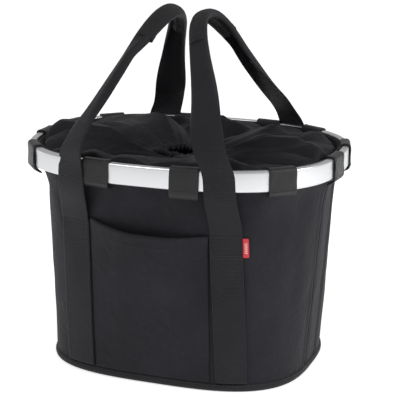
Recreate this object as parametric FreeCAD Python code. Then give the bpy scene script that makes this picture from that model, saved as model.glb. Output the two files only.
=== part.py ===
"""Handlebar basket: a fabric tub hung from an oval aluminium rim, with a gathered cover,
two webbing handles, a front pocket and a moulded plate at the back that hooks on a handlebar.

Frame: millimetres, +Z up, origin on the floor under the middle of the rim.
The front is -Y and the handlebar side is +Y.  Every level of the tub is a superellipse
|x/a|^n + |y/b|^n = 1, so a solid is a stack of such rings joined by ruled faces.
"""
import FreeCAD, Part
import math
import os

V = FreeCAD.Vector
X_AXIS, Y_AXIS, Z_AXIS = V(1, 0, 0), V(0, 1, 0), V(0, 0, 1)

# ---- driving dimensions (mm) ----
RIM_A, RIM_B, RIM_N = 180.0, 146.0, 2.5      # half length, half depth and squareness of the rim
RIM_TOP, RIM_HEIGHT = 255.0, 23.0
RIM_THICK, RIM_WALL, RIM_ROUND = 8.0, 1.5, 2.5
SLEEVE_HALF, SLEEVE_WALL = 26.0, 1.2          # sleeve inside the rim's butt joint, at the back
RIVET_R, RIVET_HEAD, RIVET_X = 2.0, 1.6, (-14.0, 14.0)
CLOTH = 1.6                                   # wall cloth with its lining and coating
GAP = 0.3                                     # space kept between neighbouring layers
BASE_A, BASE_B, BASE_N = 148.0, 118.5, 3.1    # tub outline at the floor
BASE_SHIFT = 6.0                              # the floor sits this far back under the rim
BELLY_A, BELLY_B, BELLY_N, BELLY_Z = 164.5, 131.0, 2.3, 212.0
TUCK_Z = 236.0                                # from here up the wall stands inside the rim
WALL_IN = 10.5                                # wall's outer face, in from the rim's outer face
WALL_FOOT = 4.3
BINDING_HEIGHT, BINDING_FLARE, BINDING_LAP = 9.5, 3.9, 10.0
BOARD_THICK = 3.5

WEB_WIDTH, WEB_THICK = 37.0, 1.6              # strap and handle webbing
STRAP_X_RIM, STRAP_X_BASE = 84.5, 90.0        # strap centre lines at rim and floor
STRAP_LAYER = 144.0                           # |y| of the straps' inner face outside the rim
SEWN_TOP = 183.0                              # straps are sewn to the wall up to here

PIVOT_Z = 258.0                               # the handles swing where they cross the rim
LEAN = {-1: 23.2, 1: 26.0}                    # inward lean of the left and right handle, degrees
HANDLE_RISE = 158.0                           # apex above the pivot, along the leaning plane
HANDLE_SPLAY = 39.5                           # legs' slope towards the middle, degrees
HANDLE_LAYER = STRAP_LAYER + WEB_THICK + GAP
TONGUE_RISE = 19.5                            # flat tongue above the pivot, before the leg slopes
FOLD_WIDTH, FOLD_THICK = 15.5, 4.6            # handle webbing folded lengthwise at the grip
GRIP_WIDTH, GRIP_THICK = 19.0, 10.0

TAB_WIDTH, TAB_THICK = 31.0, 2.0
TAB_DROP = 7.0                                # tabs reach this far under the rim
TABS = {                                      # polar angle of each tab's middle, degrees
    "rim_tab_front_left": -110.4, "rim_tab_front_middle": -71.7,
    "rim_tab_front_right": -36.2, "rim_tab_right_front": -5.5,
    "rim_tab_right_rear": 17.0, "rim_tab_back_right": 47.0,
    "rim_tab_back_inner_right": 69.6, "rim_tab_back_inner_left": 111.0,
    "rim_tab_back_left": 144.0, "rim_tab_left_rear": 163.0,
    "rim_tab_left_middle": 184.0, "rim_tab_left_front": 211.0,
}

POCKET_HALF, POCKET_TOP, POCKET_DIP = 67.0, 186.0, 9.0
POCKET_BULGE, POCKET_CLOTH = 13.0, 1.2
POCKET_HEM, POCKET_HEM_HALF, POCKET_HEM_THICK = 14.0, 50.0, 1.1
SEAM_HALF = 20.0                              # half width of the strips sewn in at the ends

LABEL_WIDTH, LABEL_HEIGHT, LABEL_THICK, LABEL_MIDDLE = 6.0, 21.0, 1.2, 168.0

COVER_NECK_A, COVER_NECK_B = 34.0, 24.0       # gathered opening, half sizes
COVER_THICK = 3.0
NECK_Z, NECK_SHIFT = 242.0, -18.0             # the opening sags a little towards the front
COVER_RINGS = (                               # half sizes, squareness, height, shift; outside first
    (RIM_A - 14.5, RIM_B - 14.5, RIM_N, 246.0, 0.0), (RIM_A - 18.5, RIM_B - 18.5, RIM_N, 258.0, 0.0),
    (146.0, 113.0, 2.3, 264.0, -1.0), (110.0, 84.0, 2.1, 263.0, -4.0),
    (68.0, 50.0, 2.0, 252.0, -11.0), (COVER_NECK_A, COVER_NECK_B, 2.0, NECK_Z, NECK_SHIFT))

PLATE_HALF, PLATE_LOW, PLATE_HIGH, PLATE_BACK = 54.0, 142.0, 222.0, 136.5
RAIL_X, RAIL_THICK, RAIL_DEPTH, RAIL_LIP = 34.0, 5.0, 12.0, 7.0
SCREW_R, SCREW_HEAD_R, SCREW_HEAD, SCREW_X = 2.5, 4.6, 2.8, 45.0
SCREW_Z = (152.0, 212.0)
NUT_FLAT, NUT_HEIGHT = 8.0, 4.0
WASHER_R, WASHER_THICK, WASHER_CLEAR = 5.0, 1.0, 1.6
SCREW_SEAT = 1.0                              # depth of the screw heads' counterbore
LATCH_HALF, LATCH_DEPTH, LATCH_Z, LATCH_TALL = 10.0, 6.0, 160.0, 12.0
STEPS = 48                                    # points that carry each superellipse

os.makedirs("parts", exist_ok=True)


def save(name, shape):
    """Write one sub-part and say what it holds."""
    shape.exportStep("parts/" + name + ".step")
    print(f"{name:28s} solids {len(shape.Solids)}  volume {shape.Volume / 1000:9.2f} cm3  "
          f"valid {shape.isValid()}")


# ---- rings and ring-built solids ----
def ring_wire(a, b, n, z, shift=0.0):
    """Closed smooth superellipse at height z, moved back by shift."""
    points = []
    for i in range(STEPS):
        angle = 2 * math.pi * i / STEPS
        c, s = math.cos(angle), math.sin(angle)
        r = (abs(c / a) ** n + abs(s / b) ** n) ** (-1 / n)
        points.append(V(r * c, r * s + shift, z))
    curve = Part.BSplineCurve()
    curve.interpolate(Points=points, PeriodicFlag=True)
    return Part.Wire(curve.toShape())


def closed_ring(rings):
    """Solid whose cross-section is the closed loop of rings: ruled faces from ring to ring."""
    wires = [ring_wire(*ring) for ring in rings]
    faces = []
    for lower, upper in zip(wires, wires[1:] + wires[:1]):
        faces += Part.makeRuledSurface(lower, upper).Faces
    return oriented(Part.Solid(Part.Shell(faces)))


def stacked(rings):
    """Solid block through the rings from bottom to top, with flat ends."""
    wires = [ring_wire(*ring) for ring in rings]
    faces = [Part.Face(wires[0]), Part.Face(wires[-1])]
    for lower, upper in zip(wires, wires[1:]):
        faces += Part.makeRuledSurface(lower, upper).Faces
    return oriented(Part.Solid(Part.Shell(faces)))


def oriented(solid):
    """The same solid with its faces pointing outwards."""
    solid.fix(1e-4, 1e-4, 1e-4)
    if solid.Volume < 0:
        solid.reverse()
    return solid


def tub_ring(z, offset=0.0):
    """Tub outline at height z, moved outwards by offset."""
    levels = (
        (WALL_FOOT, BASE_A, BASE_B, BASE_N, BASE_SHIFT),
        (BELLY_Z, BELLY_A, BELLY_B, BELLY_N, 0.0),
        (TUCK_Z, RIM_A - WALL_IN, RIM_B - WALL_IN, RIM_N, 0.0),
        (RIM_TOP, RIM_A - WALL_IN, RIM_B - WALL_IN, RIM_N, 0.0),
    )
    for low, high in zip(levels, levels[1:]):
        if z <= high[0]:
            break
    t = (z - low[0]) / (high[0] - low[0])
    a, b, n, shift = (p + (q - p) * t for p, q in zip(low[1:], high[1:]))
    return (a + offset, b + offset, n, z, shift)


def tub_block(offset, low=WALL_FOOT, high=RIM_TOP - 1.0):
    """Block filling the tub between two heights, moved outwards by offset."""
    heights = (WALL_FOOT - 2.0, BELLY_Z, TUCK_Z, RIM_TOP + 1.0)
    block = stacked([tub_ring(z, offset) for z in heights])
    return block.common(box(-2 * RIM_A, 2 * RIM_A, -2 * RIM_B, 2 * RIM_B, low, high))


def tub_layer(outer, inner, low=WALL_FOOT, high=RIM_TOP - 1.0):
    """Layer of the tub wall between two offsets."""
    return tub_block(outer, low, high).cut(tub_block(inner, low - 1.0, high + 1.0))


def rim_ring(offset, z):
    """Rim outline moved outwards by offset, at height z."""
    return (RIM_A + offset, RIM_B + offset, RIM_N, z)


def box(x0, x1, y0, y1, z0, z1):
    return Part.makeBox(x1 - x0, y1 - y0, z1 - z0, V(x0, y0, z0))


def prism_x(points, x0, x1):
    """Outline in the YZ plane extruded from x0 to x1."""
    wire = Part.makePolygon([V(x0, y, z) for y, z in points + points[:1]])
    return Part.Face(wire).extrude(V(x1 - x0, 0, 0))


def prism_y(points, y0, y1):
    """Outline in the XZ plane extruded from y0 to y1."""
    wire = Part.makePolygon([V(x, y0, z) for x, z in points + points[:1]])
    return Part.Face(wire).extrude(V(0, y1 - y0, 0))


# ---- rim: hollow flat aluminium tube, its joining sleeve and rivets ----
def rim_profile(inset):
    """Rounded flat profile of the rim tube, shrunk by inset."""
    out, inn = -inset, -RIM_THICK + inset
    low, high = RIM_TOP - RIM_HEIGHT + inset, RIM_TOP - inset
    r = RIM_ROUND - min(inset, RIM_ROUND - 1.0)
    k = r * (1 - math.sqrt(0.5))
    return [rim_ring(*p) for p in (
        (out, low + r), (out, high - r), (out - k, high - k), (out - r, high),
        (inn + r, high), (inn + k, high - k), (inn, high - r), (inn, low + r),
        (inn + k, low + k), (inn + r, low), (out - r, low), (out - k, low + k))]


def rim():
    tube = closed_ring(rim_profile(0.0)).cut(closed_ring(rim_profile(RIM_WALL)))
    middle = RIM_TOP - RIM_HEIGHT / 2
    holes = [Part.makeCylinder(RIVET_R, RIM_THICK, V(x, RIM_B - RIM_THICK - 2.0, middle), Y_AXIS)
             for x in RIVET_X]
    save("rim_tube", tube.cut(Part.makeCompound(holes)))
    sleeve = closed_ring(rim_profile(RIM_WALL + 0.1))
    sleeve = sleeve.cut(closed_ring(rim_profile(RIM_WALL + 0.1 + SLEEVE_WALL)))
    reach = box(-SLEEVE_HALF, SLEEVE_HALF, 0, 2 * RIM_B, 0, 2 * RIM_TOP)
    save("rim_joiner", sleeve.common(reach).cut(Part.makeCompound(holes)))
    rivets = []
    for x in RIVET_X:
        face = RIM_B - RIM_THICK - 0.22
        shank = Part.makeCylinder(RIVET_R - 0.05, 5.0, V(x, face, middle), Y_AXIS)
        head = Part.makeCylinder(RIVET_R + RIVET_HEAD, 1.2, V(x, face - 1.2, middle), Y_AXIS)
        rivets.append(shank.fuse(head))
    save("rim_rivets", Part.makeCompound(rivets))


# ---- tub walls, floor, board and binding ----
def walls():
    shell = tub_layer(0.0, -CLOTH)
    shell = shell.cut(screw_holes())
    strips = box(-2 * RIM_A, 2 * RIM_A, -SEAM_HALF, SEAM_HALF, 0, RIM_TOP)
    middle = box(-RIM_A / 2, RIM_A / 2, -2 * RIM_B, 2 * RIM_B, 0, RIM_TOP)
    ends = shell.common(strips.cut(middle))
    front_side = box(-2 * RIM_A, 2 * RIM_A, -2 * RIM_B, -SEAM_HALF, 0, RIM_TOP)
    back_side = box(-2 * RIM_A, 2 * RIM_A, SEAM_HALF, 2 * RIM_B, 0, RIM_TOP)
    save("front_wall", shell.common(front_side))
    save("back_wall", shell.common(back_side))
    for end in ends.Solids:
        side = "left" if end.CenterOfMass.x < 0 else "right"
        save("end_strip_" + side, end)
    save("wall_collar", tub_layer(-CLOTH - GAP, -CLOTH - GAP - 1.2, TUCK_Z, RIM_TOP - 1.5))


def floor():
    a, b, n, z, shift = tub_ring(WALL_FOOT)
    lap = BINDING_LAP + GAP
    save("floor_cloth", stacked([(a - lap, b - lap, n, 0.0, shift), (a - lap, b - lap, n, 2.1, shift)]))
    inset = CLOTH + 2.0
    low, high = WALL_FOOT, WALL_FOOT + BOARD_THICK
    board = stacked([(a - inset, b - inset, n, low, shift), (a - inset, b - inset, n, high, shift)])
    save("floor_board", board)

    def edge(offset, height):
        ring = tub_ring(max(height, WALL_FOOT), offset)
        return ring[:3] + (height, ring[4])

    profile = ((GAP, BINDING_HEIGHT), (BINDING_FLARE - 1.0, BINDING_HEIGHT - 0.8),
               (BINDING_FLARE, BINDING_HEIGHT / 2), (BINDING_FLARE - 1.0, 0.8),
               (BINDING_FLARE - 2.6, 0.0), (-BINDING_LAP, 0.0), (-BINDING_LAP, 2.1), (GAP, 2.1))
    save("base_binding", closed_ring([edge(*p) for p in profile]))


# ---- loops that hold the tub to the rim ----
def tabs():
    drop = RIM_TOP - RIM_HEIGHT - TAB_DROP
    low = RIM_TOP - RIM_HEIGHT
    out, inn, t = GAP, -RIM_THICK - GAP, TAB_THICK
    loop = closed_ring([rim_ring(*p) for p in (
        (out + t, low + 2), (out + t, RIM_TOP - 0.7), (out + 0.2, RIM_TOP + GAP + t),
        (inn - 0.2, RIM_TOP + GAP + t), (inn - t + 0.2, RIM_TOP - 0.7), (inn - t + 0.2, RIM_TOP - 9),
        (inn, RIM_TOP - 9), (inn, RIM_TOP + GAP), (out, RIM_TOP + GAP), (out, low - 1.5),
        (inn + 1, drop + 1.2), (inn + 1, drop - 0.6), (out + t - 0.8, low - 3.4))])
    for name, degrees in TABS.items():
        angle = math.radians(degrees)
        c, s = math.cos(angle), math.sin(angle)
        reach = (abs(c / RIM_A) ** RIM_N + abs(s / RIM_B) ** RIM_N) ** (-1 / RIM_N)
        x, y = reach * c, reach * s
        slope_x = abs(x / RIM_A) ** (RIM_N - 1) / RIM_A * (1 if x > 0 else -1)
        slope_y = abs(y / RIM_B) ** (RIM_N - 1) / RIM_B * (1 if y > 0 else -1)
        facing = math.degrees(math.atan2(slope_y, slope_x))
        slab = box(-25, 25, -TAB_WIDTH / 2, TAB_WIDTH / 2, 200, 280)
        slab.rotate(V(0, 0, 0), Z_AXIS, facing)
        slab.translate(V(x, y, 0))
        save(name, loop.common(slab))


# ---- straps sewn to the tub, and the tongues that carry the handles ----
def strap(side, front):
    """Sewn strap on one side: it follows the wall, leaves it and stands outside the rim."""
    half = WEB_WIDTH / 2
    sign = -1 if front else 1
    outline = [(side * STRAP_X_BASE - half, 0), (side * STRAP_X_BASE + half, 0),
               (side * STRAP_X_RIM + half, SEWN_TOP), (side * STRAP_X_RIM - half, SEWN_TOP)]
    y0, y1 = sorted((sign * 60.0, sign * 160.0))
    lift = GAP + (POCKET_CLOTH + 2 * GAP if front else 0.0)
    layer = tub_layer(lift + WEB_THICK, lift, BINDING_HEIGHT + 1.0, SEWN_TOP + 8.0)
    sewn = layer.common(prism_y(outline, y0, y1))
    wall_y = abs(tub_ring(SEWN_TOP)[1]) * 0.935
    path = [(wall_y - 4.0, SEWN_TOP - 1.0), (wall_y + 5.0, SEWN_TOP - 1.0),
            (STRAP_LAYER + WEB_THICK, 225.0), (STRAP_LAYER + WEB_THICK, PIVOT_Z),
            (STRAP_LAYER, PIVOT_Z), (STRAP_LAYER, 225.5)]
    x = side * STRAP_X_RIM
    free = prism_x([(sign * y, z) for y, z in path], x - half, x + half)
    free = free.cut(tub_block(lift, 150.0, 215.0))
    head = Part.makeCylinder(half, WEB_THICK, V(x, sign * STRAP_LAYER, PIVOT_Z), V(0, sign, 0))
    return sewn.fuse(free).fuse(head)


def straps():
    for side, word in ((-1, "left"), (1, "right")):
        save("strap_front_" + word, strap(side, True))
        save("strap_back_" + word, strap(side, False))


# ---- handles: webbing folded lengthwise at the top, in a sewn grip ----
def cross_section(y, s, direction, width, thick):
    """Rectangle across the handle path at (y, s), width along X."""
    normal = V(0, -direction.z, direction.y)
    corners = []
    for u, v in ((-1, -1), (1, -1), (1, 1), (-1, 1)):
        corners.append(V(u * width / 2, y, s) + normal * (v * thick / 2))
    return Part.makePolygon(corners + corners[:1])


def upright_handle():
    """Handle standing in the YZ plane with its pivot on the Y axis; returns webbing and grip."""
    splay = math.radians(HANDLE_SPLAY)
    mid = HANDLE_LAYER + WEB_THICK / 2
    corner = TONGUE_RISE + mid / math.tan(splay)
    radius = (corner - HANDLE_RISE) / (1 / math.sin(splay) - 1)
    centre = HANDLE_RISE - radius
    y_t, s_t = radius * math.cos(splay), centre + radius * math.sin(splay)
    print(f"handle grip radius {radius:.1f} mm, leg ends at y {y_t:.1f}, {s_t:.1f} above the pivot")
    webbing = None
    for sign in (-1, 1):
        way = V(0, -sign * math.sin(splay), math.cos(splay))
        leg = Part.makeLoft([cross_section(sign * mid, TONGUE_RISE, Z_AXIS, WEB_WIDTH, WEB_THICK),
                             cross_section(sign * y_t, s_t, way, FOLD_WIDTH, FOLD_THICK)], True, True)
        tongue = box(-WEB_WIDTH / 2, WEB_WIDTH / 2, HANDLE_LAYER, HANDLE_LAYER + WEB_THICK,
                     0, TONGUE_RISE)
        if sign < 0:
            tongue = tongue.mirror(V(0, 0, 0), Y_AXIS)
        foot = Part.makeCylinder(WEB_WIDTH / 2, WEB_THICK, V(0, sign * HANDLE_LAYER, 0), V(0, sign, 0))
        side = leg.fuse(tongue).fuse(foot)
        webbing = side if webbing is None else webbing.fuse(side)

    def swept(width, thick, half_angle):
        wire = cross_section(0, HANDLE_RISE, Y_AXIS, width, thick)
        face = Part.Face(wire)
        face.rotate(V(0, 0, centre), X_AXIS, half_angle)
        return face.revolve(V(0, 0, centre), X_AXIS, -2 * half_angle)

    turn = 90 - HANDLE_SPLAY
    webbing = webbing.fuse(swept(FOLD_WIDTH, FOLD_THICK, turn))
    grip = swept(GRIP_WIDTH, GRIP_THICK, turn - 1.0)
    edges = [e for e in grip.Edges if e.Length > radius and "Circle" in str(e.Curve)]
    grip = grip.makeFillet(4.0, edges)
    grip = grip.cut(swept(FOLD_WIDTH + 0.2, FOLD_THICK + 0.2, turn + 2.0))
    return webbing, grip


def handles():
    webbing, grip = upright_handle()
    for side, word in ((-1, "left"), (1, "right")):
        for name, shape in (("handle_webbing_" + word, webbing), ("handle_grip_" + word, grip)):
            placed = shape.copy()
            placed.rotate(V(0, 0, 0), Y_AXIS, -side * LEAN[side])
            placed.translate(V(side * STRAP_X_RIM, 0, PIVOT_Z))
            save(name, placed)


# ---- front pocket ----
def pocket_strip(z, inner, outer):
    """Closed outline of the pocket cloth at height z, between two bulge offsets."""
    a, b, n, z, shift = tub_ring(z)
    faces = []
    for rest, bulge in (inner, outer):
        points = []
        for i in range(13):
            x = -POCKET_HALF + 2 * POCKET_HALF * i / 12
            y = b * (1 - abs(x / a) ** n) ** (1 / n)
            points.append(V(x, -y + shift - rest - bulge * (1 - (x / POCKET_HALF) ** 2), z))
        curve = Part.BSplineCurve()
        curve.interpolate(Points=points)
        faces.append((curve, points))
    (near, p), (far, q) = faces
    edges = [near.toShape(), Part.makeLine(p[-1], q[-1]), far.toShape(), Part.makeLine(q[0], p[0])]
    return Part.Wire(Part.sortEdges(edges)[0])


def pocket():
    low = BINDING_HEIGHT + 1.0
    sheet = Part.makeLoft([
        pocket_strip(low, (GAP, 0.0), (GAP + POCKET_CLOTH, 0.0)),
        pocket_strip(POCKET_TOP, (GAP, POCKET_BULGE), (GAP + POCKET_CLOTH, POCKET_BULGE))], True, True)
    dip_r = (POCKET_HALF ** 2 + POCKET_DIP ** 2) / (2 * POCKET_DIP)
    scoop = Part.makeCylinder(dip_r, 120, V(0, -180, POCKET_TOP - POCKET_DIP + dip_r), Y_AXIS)
    save("pocket_panel", sheet.cut(scoop))
    hem_low = scoop.copy()
    hem_low.translate(V(0, 0, -POCKET_HEM))
    face = GAP - 0.1
    inner = Part.makeLoft([
        pocket_strip(low, (face - POCKET_HEM_THICK, 0.0), (face, 0.0)),
        pocket_strip(POCKET_TOP, (face - POCKET_HEM_THICK, POCKET_BULGE), (face, POCKET_BULGE))],
        True, True)
    hem = inner.common(hem_low).cut(scoop)
    middle = box(-POCKET_HEM_HALF, POCKET_HEM_HALF, -180, -60, 100, 230)
    save("pocket_hem", hem.common(middle))


# ---- gathered cover ----
def neck_ring(offset, rise):
    """Outline round the gathered opening, grown by offset, at a height above the cover's neck."""
    return (COVER_NECK_A + offset, COVER_NECK_B + offset, 2.0, NECK_Z + rise, NECK_SHIFT)


def cover():
    under = [(a, b, n, z - COVER_THICK, shift) for a, b, n, z, shift in COVER_RINGS]
    for i, drop in ((0, 0.0), (1, 1.5)):
        a, b, n, z, shift = COVER_RINGS[i]
        under[i] = (a - COVER_THICK, b - COVER_THICK, n, z - drop, shift)
    save("gathered_cover", closed_ring(list(COVER_RINGS) + under[::-1]))
    hem = closed_ring([neck_ring(*p) for p in (
        (-0.3, -3.0), (-3.3, -2.0), (-4.6, 2.0), (-3.3, 6.0), (-0.9, 6.6), (-0.3, 2.0))])
    core = closed_ring([neck_ring(*p) for p in ((-1.4, 0.5), (-2.9, 0.5), (-2.9, 3.0), (-1.4, 3.0))])
    save("cover_hem", hem.cut(core))
    elastic = closed_ring([neck_ring(*p) for p in ((-1.5, 0.6), (-2.8, 0.6), (-2.8, 2.9), (-1.5, 2.9))])
    save("hem_elastic", elastic)


# ---- side label ----
def label():
    edge = STRAP_X_RIM + (STRAP_X_BASE - STRAP_X_RIM) * (1 - LABEL_MIDDLE / SEWN_TOP) + WEB_WIDTH / 2
    lift = GAP + 0.1
    layer = tub_layer(lift + LABEL_THICK, lift, 140.0, 200.0)
    half = LABEL_HEIGHT / 2
    save("side_label", layer.common(box(edge + 0.1, edge + LABEL_WIDTH, -160, -40,
                                        LABEL_MIDDLE - half, LABEL_MIDDLE + half)))


# ---- mounting plate at the back, its backing and its fasteners ----
def screw_places():
    return [(x, z) for x in (-SCREW_X, SCREW_X) for z in SCREW_Z]


def screw_holes():
    return Part.makeCompound([Part.makeCylinder(SCREW_R + 0.2, 60, V(x, 95, z), Y_AXIS)
                              for x, z in screw_places()])


def mount():
    body = box(-PLATE_HALF, PLATE_HALF, 100, PLATE_BACK, PLATE_LOW, PLATE_HIGH)
    body = body.makeFillet(8.0, [e for e in body.Edges if abs(e.Length - (PLATE_BACK - 100)) < 0.01])
    body = body.cut(tub_block(GAP, PLATE_LOW - 10, PLATE_HIGH + 10))
    lip_y = PLATE_BACK + RAIL_DEPTH - RAIL_THICK
    for side in (-1, 1):
        x0, x1 = sorted((side * RAIL_X, side * (RAIL_X + RAIL_THICK)))
        body = body.fuse(box(x0, x1, PLATE_BACK - 1, PLATE_BACK + RAIL_DEPTH, PLATE_LOW + 6, PLATE_HIGH - 4))
        x0, x1 = sorted((side * (RAIL_X - RAIL_LIP), side * (RAIL_X + RAIL_THICK)))
        body = body.fuse(box(x0, x1, lip_y, PLATE_BACK + RAIL_DEPTH, PLATE_LOW + 6, PLATE_HIGH - 4))
    stop = box(-RAIL_X - 1, RAIL_X + 1, PLATE_BACK - 1, PLATE_BACK + RAIL_DEPTH,
               PLATE_HIGH - 4 - RAIL_THICK, PLATE_HIGH - 4)
    body = body.fuse(stop)
    window = box(-LATCH_HALF, LATCH_HALF, PLATE_BACK - LATCH_DEPTH, PLATE_BACK + 1,
                 LATCH_Z, LATCH_Z + LATCH_TALL)
    body = body.cut(window).cut(screw_holes())
    for x, z in screw_places():
        body = body.cut(Part.makeCylinder(SCREW_HEAD_R + 0.3, 10, V(x, PLATE_BACK - SCREW_SEAT, z), Y_AXIS))
    save("mount_plate", body.removeSplitter())

    lift = -CLOTH - GAP
    board = tub_layer(lift, lift - 2.0, 22.0, TUCK_Z - 4).common(box(-105, 105, 60, 180, 0, 300))
    save("back_board", board.cut(screw_holes()))
    lift -= 2.0 + GAP
    backing = tub_layer(lift, lift - 2.0, 140.0, 226.0)
    backing = backing.common(box(-PLATE_HALF, PLATE_HALF, 60, 180, PLATE_LOW + 2, PLATE_HIGH - 2))
    save("backing_plate", backing.cut(screw_holes()))

    screws, nuts, washers = [], [], []
    for x, z in screw_places():
        a, b, n, z, shift = tub_ring(z, lift - 2.0)
        seat = b * (1 - abs(x / a) ** n) ** (1 / n) + shift - WASHER_CLEAR
        tip = seat - NUT_HEIGHT - 3.0
        head = Part.makeCylinder(SCREW_HEAD_R, SCREW_HEAD, V(x, PLATE_BACK - SCREW_SEAT, z), Y_AXIS)
        socket = Part.makeCylinder(1.5, 2.0, V(x, PLATE_BACK - SCREW_SEAT + SCREW_HEAD - 1.8, z), Y_AXIS)
        shank = Part.makeCylinder(SCREW_R, PLATE_BACK - SCREW_SEAT - tip, V(x, tip, z), Y_AXIS)
        screws.append(head.fuse(shank).cut(socket))
        washer = Part.makeCylinder(WASHER_R, WASHER_THICK, V(x, seat - WASHER_THICK, z), Y_AXIS)
        washers.append(washer.cut(Part.makeCylinder(SCREW_R + 0.15, 3.0, V(x, seat - 2.0, z), Y_AXIS)))
        corner = NUT_FLAT / math.sqrt(3)
        hexagon = [(x + corner * math.cos(k * math.pi / 3), z + corner * math.sin(k * math.pi / 3))
                   for k in range(6)]
        nut = prism_y(hexagon, seat - WASHER_THICK - NUT_HEIGHT, seat - WASHER_THICK)
        nuts.append(nut.cut(Part.makeCylinder(SCREW_R + 0.05, 9.0, V(x, seat - 8.0, z), Y_AXIS)))
    save("mount_screws", Part.makeCompound(screws))
    save("mount_washers", Part.makeCompound(washers))
    save("mount_nuts", Part.makeCompound(nuts))


rim()
walls()
floor()
tabs()
straps()
handles()
pocket()
cover()
label()
mount()
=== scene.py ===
"""Looks of a handlebar basket: a cloth tub hung in an oval aluminium rim.

Metres, in the part's own frame: +Z up, front at -Y, handlebar side at +Y.
The tub's walls, straps and loops all lie on one outline, a superellipse
|x/a|^n + |y/b|^n = 1 whose a, b and n change with height.
"""
import bpy
import math
import numpy as np
from mathutils import Matrix, Vector


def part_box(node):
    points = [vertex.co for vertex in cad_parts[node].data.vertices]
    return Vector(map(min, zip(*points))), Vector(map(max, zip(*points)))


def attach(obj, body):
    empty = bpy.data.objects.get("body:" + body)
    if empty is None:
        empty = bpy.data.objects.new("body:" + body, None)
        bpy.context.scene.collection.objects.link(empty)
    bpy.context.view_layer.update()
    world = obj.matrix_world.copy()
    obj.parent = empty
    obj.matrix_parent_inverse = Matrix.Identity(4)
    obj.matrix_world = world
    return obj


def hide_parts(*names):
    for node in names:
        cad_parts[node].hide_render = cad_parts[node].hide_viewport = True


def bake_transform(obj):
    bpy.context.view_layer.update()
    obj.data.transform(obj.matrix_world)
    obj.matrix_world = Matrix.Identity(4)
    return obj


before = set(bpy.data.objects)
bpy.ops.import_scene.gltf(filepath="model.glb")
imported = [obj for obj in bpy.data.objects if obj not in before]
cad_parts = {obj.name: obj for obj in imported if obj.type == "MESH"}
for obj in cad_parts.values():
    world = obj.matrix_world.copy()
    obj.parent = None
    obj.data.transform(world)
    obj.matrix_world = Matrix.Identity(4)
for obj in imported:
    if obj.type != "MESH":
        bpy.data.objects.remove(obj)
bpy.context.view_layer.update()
MM = 0.001

# ---- Camera, light and floor ----
# A long lens a metre and a half away, to the right of the front and a little above the rim.
# One soft lamp above the front left and one low on the right, in a white room.
CAMERA_AZIMUTH, CAMERA_ELEVATION, CAMERA_ROLL = 19.93, 14.6, 0.66         # degrees
CAMERA_DISTANCE, CAMERA_LENS, CAMERA_SENSOR = 1.52, 118.5, 36.0
CAMERA_AIM = (0.0135, 0.0, 0.1848)
LIGHT_AIM, LIGHT_SIZE = (0, 0, 0.2), 0.7
LIGHTS = {"key_left": ((-0.8, -1.5, 2.0), 15), "side_right": ((1.8, -0.1, 1.0), 19)}   # place, watts
AMBIENT = 0.52                                # how strongly the white room lights the basket
FLOOR_SIZE, FLOOR_DROP = 14.0, 0.2 * MM
FLOOR_WHITE, FLOOR_ROUGHNESS, FLOOR_GLOW = 0.93, 0.9, 0.54


def camera_axes(azimuth, elevation, roll):
    """Right, up and backward directions of a camera that looks at the aim point."""
    az, el, ro = (math.radians(v) for v in (azimuth, elevation, roll))
    back = np.array([math.sin(az) * math.cos(el), -math.cos(az) * math.cos(el), math.sin(el)])
    level = np.array([math.cos(az), math.sin(az), 0.0])
    rise = np.cross(back, level)
    right = level * math.cos(ro) + rise * math.sin(ro)
    up = rise * math.cos(ro) - level * math.sin(ro)
    return right, up, back


def make_camera():
    right, up, back = camera_axes(CAMERA_AZIMUTH, CAMERA_ELEVATION, CAMERA_ROLL)
    data = bpy.data.cameras.new("camera")
    data.lens, data.sensor_width = CAMERA_LENS, CAMERA_SENSOR
    camera = bpy.data.objects.new("camera", data)
    turn = Matrix([right, up, back]).transposed().to_4x4()
    place = Vector(CAMERA_AIM) + Vector(back) * CAMERA_DISTANCE
    camera.matrix_world = Matrix.Translation(place) @ turn
    bpy.context.scene.collection.objects.link(camera)
    bpy.context.scene.camera = camera


def area_light(name, place, power):
    data = bpy.data.lights.new(name, "AREA")
    data.shape, data.size, data.energy = "DISK", LIGHT_SIZE, power
    lamp = bpy.data.objects.new(name, data)
    lamp.location = place
    lamp.rotation_euler = (Vector(LIGHT_AIM) - Vector(place)).to_track_quat("-Z", "Y").to_euler()
    bpy.context.scene.collection.objects.link(lamp)


def make_room():
    """White world, dimmer for the basket than for the camera, two lamps and a white floor."""
    world = bpy.data.worlds.new("white_room")
    world.use_nodes = True
    tree = world.node_tree
    wall = tree.nodes["Background"]
    wall.inputs["Color"].default_value = (1, 1, 1, 1)
    seen = tree.nodes.new("ShaderNodeLightPath")
    strength = tree.nodes.new("ShaderNodeMapRange")
    strength.inputs["To Min"].default_value = AMBIENT
    strength.inputs["To Max"].default_value = 1.0
    tree.links.new(seen.outputs["Is Camera Ray"], strength.inputs["Value"])
    tree.links.new(strength.outputs["Result"], wall.inputs["Strength"])
    bpy.context.scene.world = world
    bpy.context.scene.view_settings.view_transform = "Standard"
    for name, (place, power) in LIGHTS.items():
        area_light(name, place, power)
    bpy.ops.mesh.primitive_plane_add(size=FLOOR_SIZE, location=(0, 0, -FLOOR_DROP))
    floor = bpy.context.object
    floor.name = "studio_floor"
    paint = bpy.data.materials.new("studio_floor")
    paint.use_nodes = True
    shader = paint.node_tree.nodes["Principled BSDF"]
    shader.inputs["Base Color"].default_value = (FLOOR_WHITE, FLOOR_WHITE, FLOOR_WHITE, 1)
    shader.inputs["Roughness"].default_value = FLOOR_ROUGHNESS
    shader.inputs["Specular IOR Level"].default_value = 0.0
    shader.inputs["Emission Color"].default_value = (1, 1, 1, 1)
    shader.inputs["Emission Strength"].default_value = FLOOR_GLOW
    floor.data.materials.append(paint)


make_camera()
make_room()


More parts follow.
